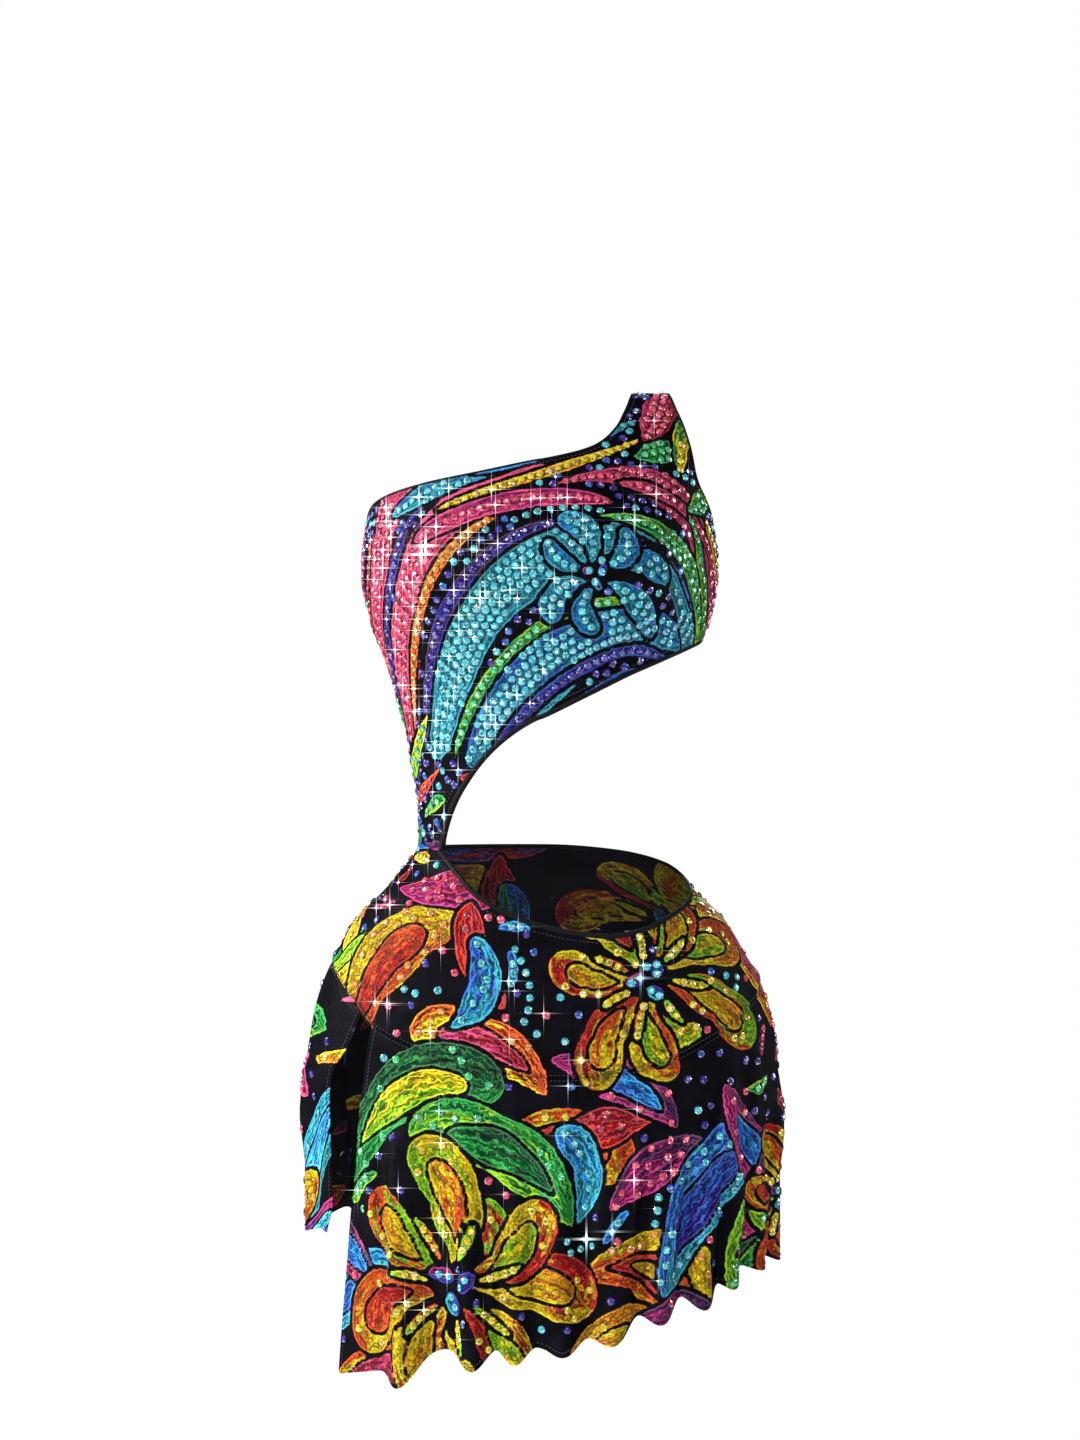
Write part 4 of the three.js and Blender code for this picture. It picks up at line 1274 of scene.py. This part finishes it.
def stones_object(panel, motifs, rng):
    """All the stones of a panel, each a little tilted and with a tint and facets of its own."""
    kept = choose_stones(panel, motifs, rng)
    count = len(kept)
    vertices = np.array([vertex for vertex, _, _ in kept])
    places = np.array([place for _, place, _ in kept])
    middle, normal = on_cloth(panel, vertices, places)
    lean = np.tan(np.radians(STONE_TILT)) * rng.normal(0, TILT_SPREAD, (count, 3))
    up = unit(normal + lean)
    side = unit(np.cross(up, rng.normal(size=(count, 3))))
    fore = np.cross(up, side)
    form, faces = stone_form()
    radius = STONE_RADIUS * rng.uniform(*SIZE_SPREAD, count)[:, None, None]
    flat = form[None, :, :2] * radius
    points = (middle[:, None] + flat[..., :1] * side[:, None] + flat[..., 1:] * fore[:, None]
              + form[None, :, 2:] * up[:, None])
    each = len(form)
    all_faces = [[spot + each * k for spot in face] for k in range(count) for face in faces]
    piece = add_mesh(panel.name + "_stones", points.reshape(-1, 3) * MM, all_faces)
    tints = np.array([linear_ink(tint) for _, _, tint in kept])
    tints = np.clip(tints * rng.uniform(*TINT_SPREAD, (count, 1)), 0, 1)
    colours = np.ones((count, each, 4))
    colours[..., :3] = tints[:, None]
    heart = np.broadcast_to(np.linalg.norm(form[:, :2], axis=-1), (count, each))
    add_marks(piece.data, {"stone_tint": ("FLOAT_COLOR", colours.reshape(-1, 4)),
                           "stone_heart": ("FLOAT", heart)})
    # A random value for each facet. The material uses it to paint dim reflections on some facets
    # and white highlights on a few.
    facets = rng.uniform(0, 1, len(all_faces))
    add_marks(piece.data, {"stone_facet": ("FLOAT", facets)}, "FACE")
    return piece


def fill_inputs(tree, node, inputs):
    """Links or sets each named input of a node."""
    for socket, value in inputs.items():
        if isinstance(value, bpy.types.NodeSocket):
            tree.links.new(value, node.inputs[socket])
        else:
            node.inputs[socket].default_value = value


def add_node(tree, kind, inputs=None, **settings):
    made = tree.nodes.new(kind)
    for key, value in settings.items():
        setattr(made, key, value)
    fill_inputs(tree, made, inputs or {})
    return made


def maths(tree, operation, *values):
    made = add_node(tree, "ShaderNodeMath", dict(enumerate(values)), operation=operation)
    return made.outputs[0]


def times(tree, *values):
    return maths(tree, "MULTIPLY", *values)


def swing(tree, value, amount, middle):
    """A middle value that a noise value moves to both sides by up to half an amount."""
    return maths(tree, "MULTIPLY_ADD", maths(tree, "SUBTRACT", value, 0.5), amount, middle)


def vector_maths(tree, operation, *values):
    made = add_node(tree, "ShaderNodeVectorMath", dict(enumerate(values)), operation=operation)
    return made.outputs[0]


def blend_colours(tree, factor, first, second):
    made = add_node(tree, "ShaderNodeMix", {0: factor, 6: first, 7: second}, data_type="RGBA")
    return made.outputs[2]


def ease(tree, value, start, end, to_start=0.0, to_end=1.0):
    """Goes smoothly from one value to another while a value runs from a start to an end."""
    made = add_node(tree, "ShaderNodeMapRange",
                    {"Value": value, "From Min": start, "From Max": end, "To Min": to_start,
                     "To Max": to_end}, interpolation_type="SMOOTHSTEP")
    return made.outputs[0]


def noise(tree, vector, scale, detail):
    made = add_node(tree, "ShaderNodeTexNoise",
                    {"Vector": vector, "Scale": scale, "Detail": detail, "Roughness": 0.5})
    return made.outputs[0]


def stretched_noise(tree, vector, scales, detail):
    """Noise with a scale of its own in each direction of a place."""
    return noise(tree, vector_maths(tree, "MULTIPLY", vector, scales), 1.0, detail)


def bump(tree, height, distance, strength):
    made = add_node(tree, "ShaderNodeBump",
                    {"Height": height, "Distance": distance, "Strength": strength})
    return made.outputs[0]


def effect(name, inputs, outputs):
    """An empty shader group with named sockets, given as name: kind."""
    tree = bpy.data.node_groups.new(name, "ShaderNodeTree")
    for way, sockets in (("INPUT", inputs), ("OUTPUT", outputs)):
        for socket, kind in sockets.items():
            tree.interface.new_socket(socket, in_out=way, socket_type="NodeSocket" + kind)
    return tree, tree.nodes.new("NodeGroupInput").outputs, tree.nodes.new("NodeGroupOutput").inputs


def use_effect(tree, group, inputs):
    return add_node(tree, "ShaderNodeGroup", inputs, node_tree=group).outputs


DEEP_INK, DEEP_SHARE = (0.006, 0.004, 0.01, 1), 0.86
LIGHT_INK, LIGHT_SHARE, LIGHT_GAIN = (1, 1, 0.7, 1), 0.06, (2.5, 2.5, 2.5)


def painted_strokes():
    """The print's inks, brushed along each motif, and where they lie.

    The flow is the way along a motif, the way aside and a lane beside its outline. The two
    inks are mixed first. Light and deep shades of the mix are then painted over it.
    """
    tree, given, put = effect(
        "painted strokes",
        {"Rim": "Float", "Flow": "Vector", "Place": "Vector", "Ink": "Color",
         "Second Ink": "Color", "Contour": "Float", "Blend": "Float"},
        {"Color": "Color", "Inked": "Float", "Height": "Float"})
    flow, place = given["Flow"], given["Place"]
    swirl = stretched_noise(tree, place, (0.17, 0.17, 0), 2)
    sway = maths(tree, "MULTIPLY_ADD", swirl, 7.0, -3.5)
    sway = add_node(tree, "ShaderNodeCombineXYZ", {1: sway}).outputs[0]
    flow = vector_maths(tree, "ADD", flow, sway)
    patches = stretched_noise(tree, flow, (0.045, 0.2, 1), 2)
    streaks = stretched_noise(tree, flow, (0.085, 0.38, 1), 3)
    grain = stretched_noise(tree, place, (0.7, 0.7, 0), 2)
    patch = swing(tree, patches, 2.4, given["Blend"])
    colour = blend_colours(tree, ease(tree, patch, 0.34, 0.74), given["Ink"],
                           given["Second Ink"])
    bright = vector_maths(tree, "MULTIPLY", colour, LIGHT_GAIN)
    light = blend_colours(tree, LIGHT_SHARE, bright, LIGHT_INK)
    deep = blend_colours(tree, DEEP_SHARE, colour, DEEP_INK)
    dashes = stretched_noise(tree, flow, (0.2, 0.85, 1), 1)
    specks = stretched_noise(tree, place, (0.55, 0.55, 0), 1)
    contour, loose = given["Contour"], maths(tree, "SUBTRACT", 1.0, given["Contour"])
    beside = add_node(tree, "ShaderNodeSeparateXYZ", {0: flow}).outputs[2]
    lane = maths(tree, "FRACT", maths(tree, "ADD", swing(tree, swirl, 2.4, beside), 20.0))
    lane = maths(tree, "ABSOLUTE", maths(tree, "SUBTRACT", lane, 0.5))
    bright_lane = times(tree, ease(tree, lane, 0.14, 0.06), contour)
    dark_lane = times(tree, ease(tree, lane, 0.33, 0.45), contour)
    dark_lane = times(tree, dark_lane, ease(tree, grain, 0.34, 0.5))
    ridge = maths(tree, "ABSOLUTE", maths(tree, "SUBTRACT", swirl, 0.5))
    squiggle = times(tree, ease(tree, ridge, 0.065, 0.03), loose)
    squiggle = times(tree, squiggle, ease(tree, patches, 0.36, 0.5))
    ragged = swing(tree, swirl, 3.0, swing(tree, grain, 1.1, given["Rim"]))
    edge = times(tree, ease(tree, ragged, 0.1, 0.5), ease(tree, ragged, 1.7, 1.0))
    layers = [
        # where a layer is painted, and its shade
        (ease(tree, patches, 0.47, 0.33, 0, 0.5), deep),
        (ease(tree, streaks, 0.57, 0.66, 0, 0.6), light),
        (ease(tree, streaks, 0.47, 0.39, 0, 0.92), deep),
        (ease(tree, dashes, 0.62, 0.68, 0, 0.9), deep),
        (times(tree, bright_lane, 0.7), light),
        (times(tree, dark_lane, 0.8), deep),
        (times(tree, ease(tree, specks, 0.58, 0.68, 0, 0.5), loose), light),
        (times(tree, ease(tree, specks, 0.4, 0.32, 0, 0.4), loose), deep),
        (times(tree, squiggle, 0.85), deep),
        (times(tree, edge, ease(tree, contour, 0.1, 1.0, 0.3, 0.8)), light),
    ]
    for where, shade in layers:
        colour = blend_colours(tree, where, colour, shade)
    tree.links.new(colour, put["Color"])
    tree.links.new(ease(tree, ragged, -0.2, 0.2), put["Inked"])
    tree.links.new(streaks, put["Height"])
    return tree


def fine_net():
    """A stretch net's lattice of threads. Its places are in millimetres."""
    tree, given, put = effect("fine net", {"Place": "Vector", "Pitch": "Float"},
                              {"Thread": "Float", "Shade": "Float"})
    across, down, _ = add_node(tree, "ShaderNodeSeparateXYZ", {0: given["Place"]}).outputs
    threads = []
    for slant in ("ADD", "SUBTRACT"):
        way = maths(tree, "DIVIDE", maths(tree, slant, across, down), given["Pitch"])
        threads.append(maths(tree, "ABSOLUTE", maths(tree, "SINE", times(tree, way, math.pi))))
    thread = maths(tree, "MAXIMUM", *threads)
    tree.links.new(ease(tree, thread, 0.45, 0.95), put["Thread"])
    tree.links.new(stretched_noise(tree, given["Place"], (0.03, 0.04, 0), 3), put["Shade"])
    return tree


STROKES, NET = painted_strokes(), fine_net()


def new_material(name):
    """A named material, its node tree and its shader."""
    material = bpy.data.materials.new(name)
    material.use_nodes = True
    return material, material.node_tree, material.node_tree.nodes["Principled BSDF"]


def attribute(tree, name, output="Fac"):
    return add_node(tree, "ShaderNodeAttribute", attribute_name=name).outputs[output]


NIGHT_INKS = (0.0006, 0.0004, 0.0014, 1), (0.003, 0.0026, 0.0065, 1)
NET_PITCH = 1.3
BETWEEN_THREADS, WRONG_SIDE_SHADE = (0.0, 0.0, 0.0, 1), (0.014, 0.013, 0.018, 1)


def printed_mesh_material():
    """Fine dark net with the print on its right side, and its duller wrong side."""
    material, tree, shader = new_material("printed mesh")
    place = attribute(tree, "cloth_place", "Vector")
    strokes = use_effect(tree, STROKES, {
        "Rim": attribute(tree, "print_rim"), "Place": place,
        "Flow": attribute(tree, "print_flow", "Vector"),
        "Ink": attribute(tree, "print_ink", "Color"),
        "Second Ink": attribute(tree, "print_second_ink", "Color"),
        "Contour": attribute(tree, "print_ink", "Alpha"),
        "Blend": attribute(tree, "print_second_ink", "Alpha")})
    net = use_effect(tree, NET, {"Place": place, "Pitch": NET_PITCH})
    night = blend_colours(tree, ease(tree, net["Shade"], 0.35, 0.75), *NIGHT_INKS)
    colour = blend_colours(tree, strokes["Inked"], night, strokes["Color"])
    hollow = ease(tree, net["Thread"], 0.7, 0.0, 0, 0.22)
    colour = blend_colours(tree, hollow, colour, BETWEEN_THREADS)
    layer = add_node(tree, "ShaderNodeSeparateXYZ", {0: place}).outputs[2]
    colour = blend_colours(tree, times(tree, layer, 0.55), colour, WRONG_SIDE_SHADE)
    height = maths(tree, "MULTIPLY_ADD", strokes["Height"], 0.5, net["Thread"])
    fill_inputs(tree, shader, {
        "Base Color": colour, "Roughness": ease(tree, net["Shade"], 0.2, 0.8, 0.42, 0.6),
        "Specular IOR Level": 0.05, "Normal": bump(tree, height, 0.0002, 0.5)})
    return material


def edging_material():
    """Soft dark jersey, folded over the edge, with fine ribs across it."""
    material, tree, shader = new_material("dark jersey edging")
    place = add_node(tree, "ShaderNodeTexCoord").outputs["Object"]
    ribs = noise(tree, vector_maths(tree, "MULTIPLY", place, (1, 1, 1.6)), 900.0, 2)
    wear = noise(tree, place, 40.0, 3)
    colour = blend_colours(tree, wear, (0.002, 0.002, 0.003, 1), (0.007, 0.0065, 0.009, 1))
    fill_inputs(tree, shader, {
        "Base Color": colour, "Roughness": ease(tree, wear, 0.3, 0.7, 0.5, 0.72),
        "Specular IOR Level": 0.12, "Normal": bump(tree, ribs, 0.0002, 0.6)})
    return material


def thread_material():
    material, tree, shader = new_material("dark sewing thread")
    place = add_node(tree, "ShaderNodeTexCoord").outputs["Object"]
    twist = noise(tree, place, 1600.0, 1)
    colour = blend_colours(tree, twist, (0.01, 0.009, 0.014, 1), (0.05, 0.046, 0.06, 1))
    fill_inputs(tree, shader, {
        "Base Color": colour, "Roughness": 0.45, "Normal": bump(tree, twist, 0.0001, 0.7)})
    return material


WHITE = (1, 1, 1, 1)
# The first is a painted shade for the stones' rims. The second paints dim reflections on some of
# their facets.
STONE_RIM_PAINTED_SHADE, STONE_FACET_PAINTED_DIM = (0.008, 0.006, 0.014, 1), (0.0, 0.0, 0.01, 1)


def stone_material():
    """Tinted glass with a painted highlight in its middle, a painted shade on its rim, painted dim
    reflections on some facets and painted white highlights on a few.
    """
    material, tree, shader = new_material("cut glass stones")
    heart, facet = attribute(tree, "stone_heart"), attribute(tree, "stone_facet")
    colour = attribute(tree, "stone_tint", "Color")
    layers = [
        # where a layer shows, and its colour: a painted highlight in the middle, a painted shade
        # on the rim, painted dim reflections on some facets and painted highlights on a few
        (ease(tree, heart, 0.75, 0.3, 0, 0.08), WHITE),
        (ease(tree, heart, 0.76, 1.0, 0, 0.88), STONE_RIM_PAINTED_SHADE),
        (ease(tree, facet, 0.42, 0.08, 0, 0.6), STONE_FACET_PAINTED_DIM),
        (ease(tree, facet, 0.88, 1.0, 0, 0.8), WHITE),
    ]
    for where, shade in layers:
        colour = blend_colours(tree, where, colour, shade)
    fill_inputs(tree, shader, {
        "Base Color": colour, "Metallic": 0.45, "Roughness": 0.1, "Coat Weight": 1.0,
        "Coat Roughness": 0.03})
    return material


# The photograph's view: level, three metres in front of the dress. One pixel of its frame, which
# is 1440 tall, stands for 0.82 mm at the body's middle.
VIEW_SCALE = 0.82
VIEW_AWAY, VIEW_END = 3000, 50000
VIEW_MIDDLE = (BODY_CENTRE, -266.5)
FRAME_TALL = 1440


def add_camera():
    data = bpy.data.cameras.new("camera")
    data.sensor_width = 36
    half_tall = VIEW_SCALE * FRAME_TALL / 2
    data.lens = data.sensor_width / 2 * VIEW_AWAY / half_tall
    data.clip_end = VIEW_END * MM
    camera = bpy.data.objects.new("camera", data)
    camera.location = (VIEW_MIDDLE[0] * MM, -VIEW_AWAY * MM, VIEW_MIDDLE[1] * MM)
    camera.rotation_euler = (math.radians(90), 0, 0)
    bpy.context.scene.collection.objects.link(camera)
    bpy.context.scene.camera = camera


def add_light(name, place, aim, size, power):
    data = bpy.data.lights.new(name, "AREA")
    data.shape = "RECTANGLE"
    data.size, data.size_y = size
    data.energy = power
    light = bpy.data.objects.new(name, data)
    light.location = place
    way = Vector(aim) - Vector(place)
    light.rotation_euler = way.to_track_quat("-Z", "Y").to_euler()
    bpy.context.scene.collection.objects.link(light)


FLOOR_DROP, FLOOR_RADIUS = 1420, 2200


def add_floor():
    """A plain pale floor, as far below the shoulder as where its wearer would stand."""
    turns = [math.radians(turn) for turn in range(0, 360, 4)]
    rim = [(FLOOR_RADIUS * math.cos(turn), FLOOR_RADIUS * math.sin(turn), -FLOOR_DROP)
           for turn in turns]
    floor = add_mesh("floor", np.array(rim) * MM, [list(range(len(rim)))])
    material, tree, shader = new_material("pale floor")
    grain = noise(tree, add_node(tree, "ShaderNodeNewGeometry").outputs["Position"], 3.0, 3)
    colour = blend_colours(tree, grain, (0.82, 0.82, 0.82, 1), (0.86, 0.86, 0.85, 1))
    fill_inputs(tree, shader, {"Base Color": colour, "Roughness": 0.8})
    floor.data.materials.append(material)


# The soft lights, then small ones that only make the stones sparkle, in metres and watts.
SPARK_SIZE, SPARK_POWER = (0.065, 0.065), 4
LIGHTS = [
    # name, place, size, power
    ("key", (-2.5, -1.15, 0.9), (0.6, 0.6), 140),
    ("fill", (1.6, -2.4, 0.4), (1.4, 1.4), 13),
    ("left side", (-2.2, 0.2, 0.2), (0.6, 1.6), 22),
    ("right side", (2.1, 0.3, 0.1), (0.6, 1.6), 18),
    ("back", (0.3, 2.6, 0.6), (1.6, 1.2), 40),
    ("spark high", (0.3, -2.9, 0.6), SPARK_SIZE, SPARK_POWER),
    ("spark left", (-0.8, -2.8, 0.1), SPARK_SIZE, SPARK_POWER),
    ("spark low", (0.5, -2.8, -0.9), SPARK_SIZE, SPARK_POWER),
    ("spark wide", (1.3, -2.6, -0.2), SPARK_SIZE, SPARK_POWER),
    ("spark low left", (-1.3, -2.5, -0.8), SPARK_SIZE, SPARK_POWER),
    ("spark top", (-0.4, -2.6, 1.3), SPARK_SIZE, SPARK_POWER),
]
LIGHTS_AIM = (-0.09, 0, -0.4)
# What of the pale room the cloth and the stones see, and what the camera sees of it.
ROOM_GLOW, ROOM_SEEN = (0.13, 0.13, 0.15, 1), WHITE


def add_studio():
    world = bpy.data.worlds.new("studio")
    bpy.context.scene.world = world
    world.use_nodes = True
    tree = world.node_tree
    seen = add_node(tree, "ShaderNodeLightPath").outputs["Is Camera Ray"]
    fill_inputs(tree, tree.nodes["Background"], {
        "Color": blend_colours(tree, seen, ROOM_GLOW, ROOM_SEEN), "Strength": 1.0})
    for name, place, size, power in LIGHTS:
        add_light(name, place, LIGHTS_AIM, size, power)
    bpy.context.scene.view_settings.view_transform = "Standard"


GLINTS = {
    "Threshold": 4.4, "Smoothness": 0.2, "Strength": 1.0, "Streaks": 4, "Iterations": 3,
    "Fade": 0.82, "Color Modulation": 0.12, "Saturation": 0.4,
}


def add_glints():
    """Four fine rays on the brightest of the stones, as a lens draws them."""
    view = bpy.context.scene
    view.use_nodes = True
    tree = view.node_tree
    tree.nodes.clear()
    picture = tree.nodes.new("CompositorNodeRLayers")
    glare = tree.nodes.new("CompositorNodeGlare")
    glare.glare_type = "STREAKS"
    glare.quality = "HIGH"
    for socket, value in GLINTS.items():
        glare.inputs[socket].default_value = value
    shown = tree.nodes.new("CompositorNodeComposite")
    tree.links.new(picture.outputs["Image"], glare.inputs["Image"])
    tree.links.new(glare.outputs["Image"], shown.inputs["Image"])


SLOTS = {"bodice": "printed_mesh", "yoke": "printed_mesh", "flounce": "flounce_mesh"}


def add_panel(panel, cloth_finish, stone_finish, rng):
    """One panel of cloth with its creases, print, stones and rolled hem."""
    name, slot = panel.name, SLOTS[panel.kind]
    motifs = PRINTS[cloth_of(panel) + "_" + name.split("_")[1]]
    crease_cloth(panel)
    draw_print(panel, motifs)
    piece = cloth_object(panel)
    finish_piece(piece, cloth_finish)
    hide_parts(name)
    stones = stones_object(panel, motifs, rng)
    finish_piece(stones, stone_finish)
    if panel.kind == "flounce":
        hem = hem_roll(panel, 0 if name == "flounce_front" else -1)
        finish_piece(hem, cloth_finish)


def add_dress():
    """Every panel of the dress, then its edgings."""
    panels = make_panels()
    rng = np.random.default_rng(STONE_SEED)
    cloth_finish = printed_mesh_material()
    stone_finish = stone_material()
    for panel in panels.values():
        add_panel(panel, cloth_finish, stone_finish, rng)
    add_edgings(panels, edging_material(), thread_material())


add_dress()
add_floor()
add_camera()
add_studio()
add_glints()
